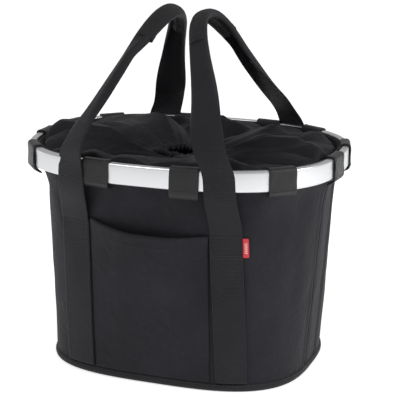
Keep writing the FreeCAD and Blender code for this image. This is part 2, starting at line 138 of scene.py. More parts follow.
# ---- Aluminium rim ----
# An extruded flat tube bent to an oval: two long flat faces with rounded edges, satin
# anodised, with fine draw lines along its length.
low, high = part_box("rim_tube")
RIM_A, RIM_B, RIM_N = high.x, high.y, 2.5
RIM_LOW, RIM_TOP = low.z, high.z
RIM_THICK, RIM_ROUND = 8.0 * MM, 2.6 * MM
RIM_STEPS, ARC_STEPS = 360, 7
DRAW_LINES = (18.0, 5200.0, 1.0)              # marks to the metre round the ring and across it


def outline(angle, a, b, n):
    """Superellipse through polar angles: r = (|cos/a|^n + |sin/b|^n)^(-1/n)."""
    c, s = np.cos(angle), np.sin(angle)
    r = (np.abs(c / a) ** n + np.abs(s / b) ** n) ** (-1 / n)
    return r * c, r * s


def outward(angle, a, b, n):
    """Unit normal of the superellipse at polar angles: the gradient of |x/a|^n + |y/b|^n."""
    x, y = outline(angle, a, b, n)
    gx = np.sign(x) * np.abs(x / a) ** (n - 1) / a
    gy = np.sign(y) * np.abs(y / b) ** (n - 1) / b
    size = np.hypot(gx, gy)
    return gx / size, gy / size


def rim_place(angle, off, z):
    """Point at a distance off outside the rim's outer face, at height z."""
    x, y = outline(angle, RIM_A, RIM_B, RIM_N)
    nx, ny = outward(angle, RIM_A, RIM_B, RIM_N)
    return np.stack(np.broadcast_arrays(x + nx * off, y + ny * off, z), axis=-1)


def walked(points):
    """Distance walked along a line of points, from its start to each point."""
    return np.concatenate([[0], np.cumsum(np.linalg.norm(np.diff(points, axis=0), axis=1))])


def even_angles(count, a=RIM_A, b=RIM_B, n=RIM_N, start=-math.pi, stop=math.pi, closed=True):
    """Polar angles that divide the outline from start to stop into equal lengths."""
    fine = np.linspace(start, stop, 4001)
    run = walked(np.stack(outline(fine, a, b, n), axis=1))
    marks = np.linspace(0, run[-1], count + 1)[:-1] if closed else np.linspace(0, run[-1], count)
    return np.interp(marks, run, fine)


def run_length(points, axis):
    """Distance walked along one axis of a grid of points, averaged over the other."""
    step = np.linalg.norm(np.diff(points, axis=axis), axis=-1)
    step = step.mean(axis=1 - axis)
    return np.concatenate([[0], np.cumsum(step)])


def surface(name, points, wrap=(False, False), uv=None, flip=False):
    """Mesh object from a grid of points (rows, columns, 3), with a UV map in metres."""
    rows, cols = points.shape[:2]
    down = np.arange(rows if wrap[0] else rows - 1)
    over = np.arange(cols if wrap[1] else cols - 1)
    i, j = (g.ravel() for g in np.meshgrid(down, over, indexing="ij"))
    corners = [(i, j), (i + 1, j), (i + 1, j + 1), (i, j + 1)]
    if flip:
        corners.reverse()
    faces = np.stack([(p % rows) * cols + q % cols for p, q in corners], axis=-1)
    mesh = bpy.data.meshes.new(name)
    mesh.from_pydata(points.reshape(-1, 3).tolist(), [], faces.tolist())
    if uv is None:
        whole = np.concatenate([points, points[:1]]) if wrap[0] else points
        whole = np.concatenate([whole, whole[:, :1]], axis=1) if wrap[1] else whole
        u, v = run_length(whole, 0), run_length(whole, 1)
        uv = np.stack(np.meshgrid(u, v, indexing="ij"), axis=-1)
    loops = np.stack([uv[p, q] for p, q in corners], axis=1)
    layer = mesh.uv_layers.new(name="cloth")
    layer.data.foreach_set("uv", loops.astype(np.float32).ravel())
    mesh.shade_smooth()
    piece = bpy.data.objects.new(name, mesh)
    bpy.context.scene.collection.objects.link(piece)
    return piece


def fit(piece, body, slot, material, *nodes):
    """Puts a finished piece on its body, with its finish and the CAD nodes it stands for."""
    piece.data.materials.clear()
    piece.data.materials.append(material)
    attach(piece, body)
    if nodes:
        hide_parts(*nodes)
    return piece


def thicken(piece, thickness, offset=-1.0):
    """Gives a surface its thickness: inwards for an offset of -1, to both sides for 0."""
    layer = piece.modifiers.new("thickness", "SOLIDIFY")
    layer.thickness, layer.offset = thickness, offset
    return layer


def rounded_profile(width, height, radius, steps):
    """Closed rounded rectangle, centred, walked anticlockwise: four quarter arcs."""
    quarter = np.linspace(0, math.pi / 2, steps)
    x, y = [], []
    for k, (sx, sy) in enumerate(((1, 1), (-1, 1), (-1, -1), (1, -1))):
        angle = quarter + k * math.pi / 2
        x.append(sx * (width / 2 - radius) + radius * np.cos(angle))
        y.append(sy * (height / 2 - radius) + radius * np.sin(angle))
    return np.concatenate(x), np.concatenate(y)


def new_material(name, color, roughness, metallic=0.0):
    material = bpy.data.materials.new(name)
    material.use_nodes = True
    shader = material.node_tree.nodes["Principled BSDF"]
    shader.inputs["Base Color"].default_value = (*color, 1)
    shader.inputs["Roughness"].default_value = roughness
    shader.inputs["Metallic"].default_value = metallic
    return material, material.node_tree, shader


def plug(tree, socket, value):
    """Links an output to a socket, or sets the socket to a plain value."""
    if isinstance(value, bpy.types.NodeSocket):
        tree.links.new(value, socket)
    else:
        socket.default_value = value


def new_node(tree, kind, **inputs):
    """Adds a node: set_NAME gives one of its properties, any other name an input."""
    node = tree.nodes.new(kind)
    for key, value in inputs.items():
        if key.startswith("set_"):
            setattr(node, key[4:], value)
        else:
            plug(tree, node.inputs[key], value)
    return node


def maths(tree, operation, *values):
    """Output of a Math node."""
    node = new_node(tree, "ShaderNodeMath", set_operation=operation)
    for k, value in enumerate(values):
        plug(tree, node.inputs[k], value)
    return node.outputs[0]


def tint(tree, factor, low_color, high_color):
    """Colour that goes from one to another with a factor; either may be an output."""
    node = new_node(tree, "ShaderNodeMix", set_data_type="RGBA", Factor=factor)
    for key, color in (("A", low_color), ("B", high_color)):
        plug(tree, node.inputs[key], color if isinstance(color, bpy.types.NodeSocket) else (*color, 1))
    return node.outputs["Result"]


def noise(tree, place, scale, detail, **more):
    """Output of a noise texture with so many features to the metre."""
    made = new_node(tree, "ShaderNodeTexNoise", Vector=place, Scale=scale, Detail=detail, **more)
    return made.outputs["Fac"]


def object_place(tree):
    return new_node(tree, "ShaderNodeTexCoord").outputs["Object"]


def cloth_place(tree):
    """The piece's own UV map, in metres."""
    return new_node(tree, "ShaderNodeUVMap", set_uv_map="cloth").outputs["UV"]


def add_bump(tree, shader, height, strength, distance):
    bump = new_node(tree, "ShaderNodeBump", Strength=strength, Distance=distance, Height=height)
    plug(tree, shader.inputs["Normal"], bump.outputs["Normal"])


def anodised(name, color):
    """Satin aluminium: fine lines drawn along the tube, and a faint cloudiness."""
    material, tree, shader = new_material(name, color, 0.34, 1.0)
    lines = new_node(tree, "ShaderNodeMapping", Vector=cloth_place(tree), Scale=DRAW_LINES)
    drawn = noise(tree, lines.outputs["Vector"], 1.0, 3.0)
    cloud = noise(tree, object_place(tree), 38.0, 4.0)
    spread = maths(tree, "MULTIPLY_ADD", drawn, 0.16, 0.20)
    plug(tree, shader.inputs["Roughness"], maths(tree, "MULTIPLY_ADD", cloud, 0.12, spread))
    shade = [0.90 * c for c in color]
    plug(tree, shader.inputs["Base Color"], tint(tree, cloud, shade, color))
    add_bump(tree, shader, drawn, 0.10, 0.1 * MM)
    return material


rim_metal = anodised("rim_aluminium", (0.66, 0.665, 0.68))
across, upward = rounded_profile(RIM_THICK, RIM_TOP - RIM_LOW, RIM_ROUND, ARC_STEPS)
rim_angles = even_angles(RIM_STEPS)
rim_points = rim_place(rim_angles[:, None], across[None, :] - RIM_THICK / 2,
                       upward[None, :] + (RIM_LOW + RIM_TOP) / 2)
rim = surface("rim_tube_satin", rim_points, wrap=(True, True), flip=True)
fit(rim, "tub", "rim_aluminium", rim_metal, "rim_tube")

# ---- Joining sleeve and rivets of the rim ----
# The tube's ends meet at the middle of the back on an inner sleeve, held by two blind rivets.
sleeve_metal = anodised("joiner_aluminium", (0.70, 0.71, 0.72))
rivet_metal, tree, shader = new_material("rivet_aluminium", (0.62, 0.62, 0.63), 0.38, 1.0)
scuffs = noise(tree, object_place(tree), 900.0, 2.0)
plug(tree, shader.inputs["Roughness"], maths(tree, "MULTIPLY_ADD", scuffs, 0.3, 0.22))
add_bump(tree, shader, scuffs, 0.2, 0.2 * MM)


def finish_node(name, material):
    """Gives a CAD node its finish; the shape is left alone."""
    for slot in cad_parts[name].material_slots:
        slot.material = material


finish_node("rim_joiner", sleeve_metal)
finish_node("rim_rivets", rivet_metal)


# ---- Tub walls ----
# Coated polyester cut as a front and a back panel, with a narrow strip sewn in at each end.
# The panels hang from the rim's loops and are kept in shape by the straps and the base.
def group(name, inputs, outputs):
    """Empty shader group with named sockets: (name, kind, default) in, (name, kind) out."""
    tree = bpy.data.node_groups.new(name, "ShaderNodeTree")
    for label, kind, value in inputs:
        socket = tree.interface.new_socket(name=label, in_out="INPUT", socket_type="NodeSocket" + kind)
        if value is not None:
            socket.default_value = value
    for label, kind in outputs:
        tree.interface.new_socket(name=label, in_out="OUTPUT", socket_type="NodeSocket" + kind)
    return tree, tree.nodes.new("NodeGroupInput"), tree.nodes.new("NodeGroupOutput")


def place_group(tree, made, **inputs):
    """Outputs of a shader group placed in a material."""
    node = tree.nodes.new("ShaderNodeGroup")
    node.node_tree = made
    for key, value in inputs.items():
        plug(tree, node.inputs[key], value)
    return node.outputs


def ripple(tree, turns):
    """Rounded ridges, one to each unit: |sin(pi turns)|."""
    return maths(tree, "ABSOLUTE", maths(tree, "SINE", maths(tree, "MULTIPLY", turns, math.pi)))


def make_weave():
    """Plain weave on a UV map in metres: rounded threads that pass over and under in turn, and a
    painted-shade mask that is higher where the weave dips.
    """
    tree, given, out = group("plain_weave", [("Place", "Vector", None), ("Pitch", "Float", THREAD)],
                             [("Height", "Float"), ("GapShade", "Float")])
    place, pitch = given.outputs["Place"], given.outputs["Pitch"]
    wave = maths(tree, "MULTIPLY_ADD", noise(tree, place, 420.0, 1.0), 0.5, -0.25)
    split = new_node(tree, "ShaderNodeSeparateXYZ", Vector=place)
    turns = [maths(tree, "ADD", maths(tree, "DIVIDE", split.outputs[axis], pitch), wave)
             for axis in ("X", "Y")]
    ridge = [ripple(tree, t) for t in turns]
    cell = maths(tree, "ADD", maths(tree, "FLOOR", turns[0]), maths(tree, "FLOOR", turns[1]))
    over = maths(tree, "PINGPONG", cell, 1.0)
    under = maths(tree, "SUBTRACT", 1.0, over)
    warp = maths(tree, "MULTIPLY", ridge[0], maths(tree, "MULTIPLY_ADD", over, 0.5, 0.5))
    weft = maths(tree, "MULTIPLY", ridge[1], maths(tree, "MULTIPLY_ADD", under, 0.5, 0.5))
    top = maths(tree, "MAXIMUM", warp, weft)
    plug(tree, out.inputs["Height"], top)
    # painted shade: mask for darkening the colour where the threads dip
    plug(tree, out.inputs["GapShade"], maths(tree, "SUBTRACT", 1.0, top))
    return tree


def make_life():
    """Use and handling: broad cloudiness, faint rubbed patches and small creases."""
    tree, given, out = group("handled_cloth", [("Place", "Vector", None)],
                             [("Cloud", "Float"), ("Rub", "Float"), ("Crease", "Float")])
    place = given.outputs["Place"]
    rub = new_node(tree, "ShaderNodeMapRange", Value=noise(tree, place, 150.0, 6.0, Roughness=0.65))
    rub.inputs["From Min"].default_value, rub.inputs["From Max"].default_value = 0.52, 0.78
    plug(tree, out.inputs["Cloud"], noise(tree, place, 14.0, 5.0))
    plug(tree, out.inputs["Rub"], rub.outputs["Result"])
    plug(tree, out.inputs["Crease"], noise(tree, place, 55.0, 3.0, Distortion=0.6))
    return tree


THREAD = 0.6 * MM                             # pitch of the tub cloth's threads
weave_group, life_group = make_weave(), make_life()


def woven_shader(name, color, roughness, sheen, sheen_roughness, gloss):
    """Dull textile with a faint sheen: the shader, its UV map and the marks of handling."""
    material, tree, shader = new_material(name, color, roughness)
    shader.inputs["Sheen Weight"].default_value = sheen
    shader.inputs["Sheen Roughness"].default_value = sheen_roughness
    shader.inputs["Specular IOR Level"].default_value = gloss
    life = place_group(tree, life_group, Place=object_place(tree))
    return material, tree, shader, cloth_place(tree), life


def cloth(name, dark, light, pitch=THREAD, roughness=0.72, sheen=0.10, gloss=0.16, depth=0.35,
          wrinkle=0.25):
    """Woven cloth: thread relief from the weave, painted shade where the weave dips, tone from its
    handling.
    """
    material, tree, shader, uv, life = woven_shader(name, dark, roughness, sheen, 0.4, gloss)
    woven = place_group(tree, weave_group, Place=uv, Pitch=pitch)
    worn = maths(tree, "MULTIPLY_ADD", life["Rub"], 0.35, life["Cloud"])
    # painted shade: the colour darkens where the weave dips between threads; the rubbed and cloudy tone is
    # wear
    tone = maths(tree, "MULTIPLY_ADD", woven["GapShade"], -0.45, worn)
    plug(tree, shader.inputs["Base Color"], tint(tree, tone, dark, light))
    plug(tree, shader.inputs["Roughness"],
         maths(tree, "MULTIPLY_ADD", life["Cloud"], 0.14, roughness - 0.07))
    fold = new_node(tree, "ShaderNodeBump", Strength=wrinkle, Distance=4 * MM, Height=life["Crease"])
    thread = new_node(tree, "ShaderNodeBump", Strength=depth, Distance=0.25 * MM,
                      Height=woven["Height"], Normal=fold.outputs["Normal"])
    plug(tree, shader.inputs["Normal"], thread.outputs["Normal"])
    return material


tub_cloth = cloth("tub_cloth", (0.0075, 0.0072, 0.0095), (0.0235, 0.0225, 0.0290), sheen=0.045,
                  wrinkle=0.42)

SEAM_HALF, CLOTH_THICK = 20 * MM, 1.6 * MM
WALL_FOOT, WALL_TOP, WALL_ROWS = 4.3 * MM, 254 * MM, 118
WALL_COLS, STRIP_COLS = 250, 30
LEVEL_Z = np.array([4.3, 212, 236, 256]) * MM
LEVEL_A = np.array([148, 164.5, 169.5, 169.5]) * MM
LEVEL_B = np.array([118.5, 131, 135.5, 135.5]) * MM
LEVEL_N = np.array([3.1, 2.3, 2.5, 2.5])
LEVEL_SHIFT = np.array([6.0, 0, 0, 0]) * MM
TAB_ANGLES = np.radians([-110.4, -71.7, -36.2, -5.5, 17, 47, 69.6, 111, 144, 163, 184, 211])
PULL, PULL_WIDTH, PULL_Z, PULL_FADE = 2.6, 6.5, 0.226, 0.024            # mm, degrees, metres, metres
FOLD_DEPTH, FOLD_DRIFT, RIPPLE_DEPTH = 1.35, 14, 0.35
# Long folds: polar angle, depth in mm, half width in degrees, drift with height.
SOFT_FOLDS = ((-99, 2.2, 9, 0.5), (-62, -1.8, 6, -0.4), (-44, 1.6, 7, 0.8), (-24, -1.6, 6, 0.3),
              (-133, 1.9, 8, -0.6), (-152, -1.5, 7, 0.4), (28, 1.8, 8, -0.5), (62, -1.6, 9, 0.3),
              (93, 1.4, 10, 0.2), (128, 1.8, 8, -0.4), (152, -1.6, 8, 0.5), (201, -1.2, 6, 0.2),
              (189, -4.2, 14, 0.1), (-166, -2.0, 7, 0.1))


def level(table, z):
    """Value at a height from a table of levels, averaged over 18 mm so that no level shows."""
    spread = np.linspace(-9, 9, 7) * MM
    return np.mean([np.interp(z + s, LEVEL_Z, table) for s in spread], axis=0)


def near(angle, centre, width):
    """Bell curve in polar angle, in degrees, that repeats every full turn."""
    off = (np.degrees(angle) - centre + 180) % 360 - 180
    return np.exp(-(off / width) ** 2)


def wall_relief(angle, z):
    """How far the cloth stands out of the even tub: hung from its loops, folded, and handled.

    Under each loop it is drawn 1.3 mm out, and between loops it falls in as far, fading 24 mm
    down.  Long folds are bells in angle whose middle drifts with height; ripples are two sines.
    """
    up = np.clip((z - 0.01) / 0.235, 0, 1)
    body = np.clip(up * 5, 0, 1) * np.clip((0.262 - z) / 0.03, 0, 1)
    hung = sum(near(angle, math.degrees(t), PULL_WIDTH) for t in TAB_ANGLES)
    relief = (PULL * hung - PULL / 2) * np.exp(-((z - PULL_Z) / PULL_FADE) ** 2)
    for centre, depth, width, drift in SOFT_FOLDS:
        middle = centre + drift * FOLD_DRIFT * (up - 0.5) + 1.5 * np.sin(7 * up + centre)
        fold = near(angle, middle, width * (1.25 - 0.5 * up))
        relief = relief + FOLD_DEPTH * depth * fold * body * (0.35 + 0.65 * up)
    ripples = RIPPLE_DEPTH * np.sin(23 * angle + 3.0 * np.sin(31 * z)) * np.sin(48 * z + 2 * angle)
    return (relief + ripples * body) * MM


def wall_place(angle, z, lift=0.0, relief=1.0):
    """Point of the tub's outer face at a polar angle and height, moved out by lift."""
    a, b, n = level(LEVEL_A, z), level(LEVEL_B, z), level(LEVEL_N, z)
    x, y = outline(angle, a, b, n)
    nx, ny = outward(angle, a, b, n)
    out = lift + relief * wall_relief(angle, z)
    back = level(LEVEL_SHIFT, z)
    return np.stack(np.broadcast_arrays(x + nx * out, y + ny * out + back, z), axis=-1)


def angle_at(z, x=None, y=None, side=-1):
    """Polar angle where the tub's outline passes a given x on one face, or a given y at one end."""
    a, b, n = level(LEVEL_A, z), level(LEVEL_B, z), level(LEVEL_N, z)
    if y is not None:
        y = y - level(LEVEL_SHIFT, z)
        x = side * a * (1 - np.abs(y / b) ** n) ** (1 / n)
    else:
        y = side * b * (1 - np.abs(x / a) ** n) ** (1 / n)
    return np.arctan2(y, x)


def seam_ridge(distance):
    """Lapped seam: a 0.8 mm welt along the panel's edge, about 6 mm wide, and a groove beside it."""
    return (0.8 * np.exp(-((distance - 4.5 * MM) / (3.2 * MM)) ** 4)
            - 1.1 * np.exp(-(distance / (1.3 * MM)) ** 2)) * MM


def wall_panel(name, start, stop, cols, seams):
    """Panel between two border angles, which are functions of height; rows run up the wall."""
    z = np.linspace(WALL_FOOT, WALL_TOP, WALL_ROWS)[:, None]
    share = np.linspace(0, 1, cols)[None, :]
    a0, a1 = start(z), stop(z)
    coarse = a0 + (a1 - a0) * share
    steps = np.linalg.norm(np.diff(wall_place(coarse, z), axis=1), axis=-1)
    run = np.concatenate([np.zeros((WALL_ROWS, 1)), np.cumsum(steps, axis=1)], axis=1)
    goal = share * run[:, -1:]
    angle = np.stack([np.interp(g, r, c) for g, r, c in zip(goal, run, coarse)])
    points = wall_place(angle, z, seams * (seam_ridge(goal) + seam_ridge(run[:, -1:] - goal)))
    panel = surface(name, points)
    thicken(panel, CLOTH_THICK)
    return panel, points


def border(side, edge, whole=0.0):
    """Polar angle of an upright seam as a function of height."""
    return lambda z: angle_at(z, y=edge, side=side) + whole


SIDE_PANEL, END_STRIP = (WALL_COLS, 1), (STRIP_COLS, -0.6)             # columns, height of the seams
wall_parts = (
    ("front_wall", border(-1, -SEAM_HALF), border(1, -SEAM_HALF), *SIDE_PANEL),
    ("back_wall", border(1, SEAM_HALF), border(-1, SEAM_HALF), *SIDE_PANEL),
    ("end_strip_right", border(1, -SEAM_HALF), border(1, SEAM_HALF), *END_STRIP),
    ("end_strip_left", border(-1, SEAM_HALF), border(-1, -SEAM_HALF, 2 * math.pi), *END_STRIP))
for node, start, stop, cols, seams in wall_parts:
    panel, points = wall_panel(node + "_cloth", start, stop, cols, seams)
    fit(panel, "tub", "tub_cloth", tub_cloth, node)


# ---- Collar, floor cloth and board ----
# A second layer of cloth lines the wall's top edge, a cloth floor is bound to the walls, and a
# stiff plastic board lies on it so that the basket keeps its shape.
COLLAR_LOW, COLLAR_TOP, COLLAR_THICK = 0.2365, 0.253, 1.1 * MM
COLLAR_GAP, COLLAR_WIDTH = 0.4 * MM, 17 * MM
angle = even_angles(300)[None, :]
z = np.linspace(COLLAR_LOW, COLLAR_TOP, 8)[:, None]
points = wall_place(angle, z, -CLOTH_THICK - COLLAR_GAP)
collar = surface("wall_collar_cloth", points, wrap=(False, True))
thicken(collar, COLLAR_THICK)
fit(collar, "tub", "tub_cloth", tub_cloth, "wall_collar")

FLOOR_INSET, FLOOR_LIFT, FLOOR_THICK, FLOOR_RIPPLE = 10.2 * MM, 0.1 * MM, 1.8 * MM, 0.25 * MM


def floor_disc(name):
    """Disc inside the base outline: each ring is the outline drawn in by a share of its size."""
    share = np.linspace(1, 0.0, 40)[:, None]
    angle = even_angles(200)[None, :]
    a, b = LEVEL_A[0] - FLOOR_INSET, LEVEL_B[0] - FLOOR_INSET
    x, y = outline(angle, a, b, LEVEL_N[0])
    x, y = x * share, y * share
    sag = FLOOR_RIPPLE * (np.sin(41 * x + 7 * y) * np.sin(37 * y) + 0.5) * (1 - share ** 4)
    points = np.stack([x, y + LEVEL_SHIFT[0], FLOOR_LIFT + np.abs(sag)], axis=-1)
    uv = np.concatenate([points, points[:, :1]], axis=1)[..., :2]
    disc = surface(name, points, wrap=(False, True), uv=uv)
    disc.modifiers.new("join_middle", "WELD").merge_threshold = 1e-6
    thicken(disc, FLOOR_THICK)
    return disc, (2 * b, 2 * a)


floor_cloth, size = floor_disc("floor_cloth_bottom")
fit(floor_cloth, "tub", "tub_cloth", tub_cloth, "floor_cloth")


def moulded(name, color, roughness, grain=1400.0):
    """Moulded black plastic: fine spark grain and faint lighter flow clouds."""
    material, tree, shader = new_material(name, color, roughness)
    place = object_place(tree)
    pits, flow = noise(tree, place, grain, 2.0), noise(tree, place, 30.0, 4.0)
    light = [1.7 * c + 0.01 for c in color]
    plug(tree, shader.inputs["Base Color"], tint(tree, flow, color, light))
    plug(tree, shader.inputs["Roughness"], maths(tree, "MULTIPLY_ADD", flow, 0.2, roughness - 0.1))
    add_bump(tree, shader, pits, 0.25, 0.4 * MM)
    return material


finish_node("floor_board", moulded("board_plastic", (0.020, 0.020, 0.022), 0.5, 700.0))
finish_node("back_board", moulded("stiffener_plastic", (0.022, 0.022, 0.024), 0.5, 700.0))


# ---- Base binding ----
# A stiff tape folded round the joint of walls and floor and sewn through, standing out all
# round as a rounded lip.
def ribbed(name, dark, light, rib, roughness=0.6, strands=1.1 * MM):
    """Webbing or tape: ribs across its length (UV x runs along), fine strands along it, painted shade
    between the ribs.
    """
    material, tree, shader, uv, life = woven_shader(name, dark, roughness, 0.03, 0.35, 0.18)
    split = new_node(tree, "ShaderNodeSeparateXYZ", Vector=uv)
    sway = maths(tree, "MULTIPLY_ADD", life["Crease"], 0.6, -0.3)
    along = maths(tree, "ADD", maths(tree, "DIVIDE", split.outputs["X"], rib), sway)
    across = maths(tree, "DIVIDE", split.outputs["Y"], strands)
    shifted = maths(tree, "ADD", across, maths(tree, "MULTIPLY", maths(tree, "FLOOR", along), 0.5))
    ridge = ripple(tree, along)
    worn = maths(tree, "MULTIPLY_ADD", life["Rub"], 0.3, life["Cloud"])
    # painted shade: the colour darkens in the grooves between the ribs, on top of the rubbed and cloudy
    # wear
    tone = maths(tree, "MULTIPLY_ADD", ridge, 0.5, maths(tree, "SUBTRACT", worn, 0.35))
    plug(tree, shader.inputs["Base Color"], tint(tree, tone, dark, light))
    plug(tree, shader.inputs["Roughness"],
         maths(tree, "MULTIPLY_ADD", life["Cloud"], 0.15, roughness - 0.08))
    height = maths(tree, "MULTIPLY_ADD", ripple(tree, shifted), 0.35, ridge)
    add_bump(tree, shader, height, 0.6, 0.5 * MM)
    return material


binding_tape = ribbed("binding_tape", (0.007, 0.007, 0.008), (0.022, 0.022, 0.025), 1.6 * MM)
BINDING_FLARE, PUCKER = 3.9 * MM, 0.22 * MM
BINDING_LINE = np.array([                     # distance out of the wall foot, height
    (0.35, 8.6), (0.7, 9.5), (2.0, 9.3), (3.3, 8.0), (3.9, 5.8), (3.9, 3.6), (3.2, 1.5), (1.6, 0.25),
    (-1.0, 0.0), (-5.5, 0.0), (-9.4, 0.0), (-10.0, 0.8), (-9.6, 2.0), (-6.0, 2.1), (-1.5, 2.15),
    (0.2, 3.0), (0.35, 5.5)]) * MM


def base_ring(angle, off, z):
    """Point round the foot of the tub: the base outline moved out by off, at height z."""
    x, y = outline(angle, LEVEL_A[0], LEVEL_B[0], LEVEL_N[0])
    nx, ny = outward(angle, LEVEL_A[0], LEVEL_B[0], LEVEL_N[0])
    return np.stack(np.broadcast_arrays(x + nx * off, y + ny * off + LEVEL_SHIFT[0], z), axis=-1)


def read_line(points, run, marks):
    """Points of a line at given distances along it."""
    return np.stack([np.interp(marks, run, points[:, k]) for k in range(points.shape[1])], axis=1)


def smooth_loop(points, count):
    """Closed line through points, resampled evenly and rounded with a short running mean."""
    ring = np.concatenate([points, points[:1]])
    run = walked(ring)
    even = read_line(ring, run, np.linspace(0, run[-1], count + 1)[:-1])
    return (np.roll(even, 1, 0) + 2 * even + np.roll(even, -1, 0)) / 4


loop = smooth_loop(BINDING_LINE, 44)
loop[:, 1] -= loop[:, 1].min()
angle = even_angles(420, LEVEL_A[0], LEVEL_B[0], LEVEL_N[0])[:, None]
pull = PUCKER * np.sin(160 * angle) * np.clip(loop[None, :, 0] / BINDING_FLARE, 0, 1)
points = base_ring(angle, loop[None, :, 0] + pull, loop[None, :, 1])
binding = surface("base_binding_tape", points, wrap=(True, True), flip=True)
fit(binding, "tub", "binding_cloth", binding_tape, "base_binding")


# ---- Loops on the rim ----
# Twelve loops of doubled cloth go over the rim from inside and come back to the wall under
# it; a row of stitches closes each one below the rim.
TAB_WIDTH, TAB_THICK, TAB_MIDDLE_Z = 31 * MM, 2.0 * MM, 243 * MM
TAB_SEED = 40
MIDDLE_HANG = 4 * MM                          # the middle front loop is slack and hangs lower
TAB_NAMES = ("front_left", "front_middle", "front_right", "right_front", "right_rear", "back_right",
             "back_inner_right", "back_inner_left", "back_left", "left_rear", "left_middle", "left_front")
TAB_LINE = np.array([                         # distance out of the rim's outer face, height
    (-9.4, 246.5), (-9.5, 251.0), (-9.2, 254.6), (-7.6, 256.3), (-4.0, 256.5), (-0.4, 256.3),
    (1.2, 254.6), (1.5, 250.0), (1.6, 243.0), (1.6, 236.0), (1.4, 231.5), (-0.2, 228.6), (-4.5, 226.4),
    (-7.6, 225.2)]) * MM
tab_cloth = cloth("tab_cloth", (0.004, 0.004, 0.0045), (0.013, 0.0128, 0.015), pitch=0.55 * MM,
                  roughness=0.42, sheen=0.03, gloss=0.34)


def blur(rows, times):
    """Three-point running mean, 1 2 1, with both end rows held; changes the rows in place."""
    for _ in range(times):
        rows[1:-1] = (rows[:-2] + 2 * rows[1:-1] + rows[2:]) / 4
    return rows


def resample(points, count, times=0):
    """Open line resampled evenly, with its corners rounded by so many running means."""
    run = walked(points)
    return blur(read_line(points, run, np.linspace(0, run[-1], count)), times)


def directions(line):
    """Unit vectors along a line at each of its points."""
    step = np.gradient(line, axis=0)
    return step / np.linalg.norm(step, axis=1, keepdims=True)


def flat_profile(width, thick, steps=4, middle=9):
    """Rounded bar across a loop: closed, width by thick, with points along its long faces."""
    line = np.stack(rounded_profile(width, thick, 0.45 * thick, steps), axis=1)
    parts = []
    for k in range(len(line)):
        p, q = line[k], line[(k + 1) % len(line)]
        long_face = abs(q[0] - p[0]) > width / 2
        share = np.linspace(0, 1, middle + 1)[:-1] if long_face else np.array([0.0])
        parts.append(p + (q - p) * share[:, None])
    return np.concatenate(parts)


def capped(piece, rows, cols):
    """Closes the two ends of a tube whose rows are its rings, with both caps facing outwards."""
    mesh = piece.data
    built = [list(p.vertices) for p in mesh.polygons]
    uv = np.empty(len(mesh.loops) * 2, np.float32)
    mesh.uv_layers["cloth"].data.foreach_get("uv", uv)
    points = np.array([v.co for v in mesh.vertices])
    first = points[:cols]
    outer = first.mean(axis=0) - points[3 * cols:4 * cols].mean(axis=0)
    turn = np.cross(first, np.roll(first, -1, axis=0)).sum(axis=0)
    ends = [list(range(cols)), list(range((rows - 1) * cols, rows * cols))]
    ends[0 if turn @ outer < 0 else 1].reverse()
    fresh = bpy.data.meshes.new(mesh.name)
    fresh.from_pydata(points.tolist(), [], built + ends)
    whole = np.concatenate([uv.reshape(-1, 2), np.zeros((2 * cols, 2), np.float32)])
    fresh.uv_layers.new(name="cloth").data.foreach_set("uv", whole.ravel())
    fresh.shade_smooth()
    piece.data = fresh


def make_tab(name, centre, seed):
    """Loop over the rim: its midline in the rim's section, a flat bar across, carried on tangents.

    The bar is puffed out in the middle and wrinkled at its edges, more so on the outside.
    """
    rng = np.random.default_rng(seed)
    line = resample(TAB_LINE, 64, 3)
    if name == "front_middle":
        line[:, 1] -= MIDDLE_HANG * np.clip((TAB_MIDDLE_Z - line[:, 1]) / 0.015, 0, 1)
    bar = flat_profile(TAB_WIDTH + rng.uniform(-0.8, 0.8) * MM, TAB_THICK)
    along = np.linspace(0, 1, len(line))[:, None]
    lean = rng.uniform(-0.05, 0.05)
    across = bar[None, :, 0] + lean * (line[:, None, 1] - TAB_MIDDLE_Z)
    tip = np.clip(np.minimum(along, 1 - along) * 26, 0.12, 1) ** 0.5
    step = directions(line)
    edge = np.abs(across) / (TAB_WIDTH / 2)
    puff = 0.8 * MM * (1 - edge ** 2) * np.sin(np.pi * along) * (1 + rng.uniform(-0.5, 0.5))
    waves = 2 * np.pi * (2.2 * along + rng.uniform()) + 2.5 * across / TAB_WIDTH * 6.28
    loose = puff + 0.35 * MM * np.sin(waves) * edge
    depth = bar[None, :, 1] * tip + loose * np.clip(8 * along - 2, 0, 1)
    off = line[:, None, 0] + step[:, None, 1] * depth
    z = line[:, None, 1] - step[:, None, 0] * depth
    run = even_angles(33, start=centre - 0.16, stop=centre + 0.16, closed=False)
    length = walked(rim_place(run, 0.0, 0.0))
    angle = np.interp(across, length - np.interp(centre, run, length), run)
    points = rim_place(angle, off, z)
    tab = surface("rim_loop_" + name, points, wrap=(False, True))
    capped(tab, *points.shape[:2])
    fit(tab, "tub", "tab_cloth", tab_cloth, "rim_tab_" + name)


for seed, (name, centre) in enumerate(zip(TAB_NAMES, TAB_ANGLES)):
    make_tab(name, centre, TAB_SEED + seed)


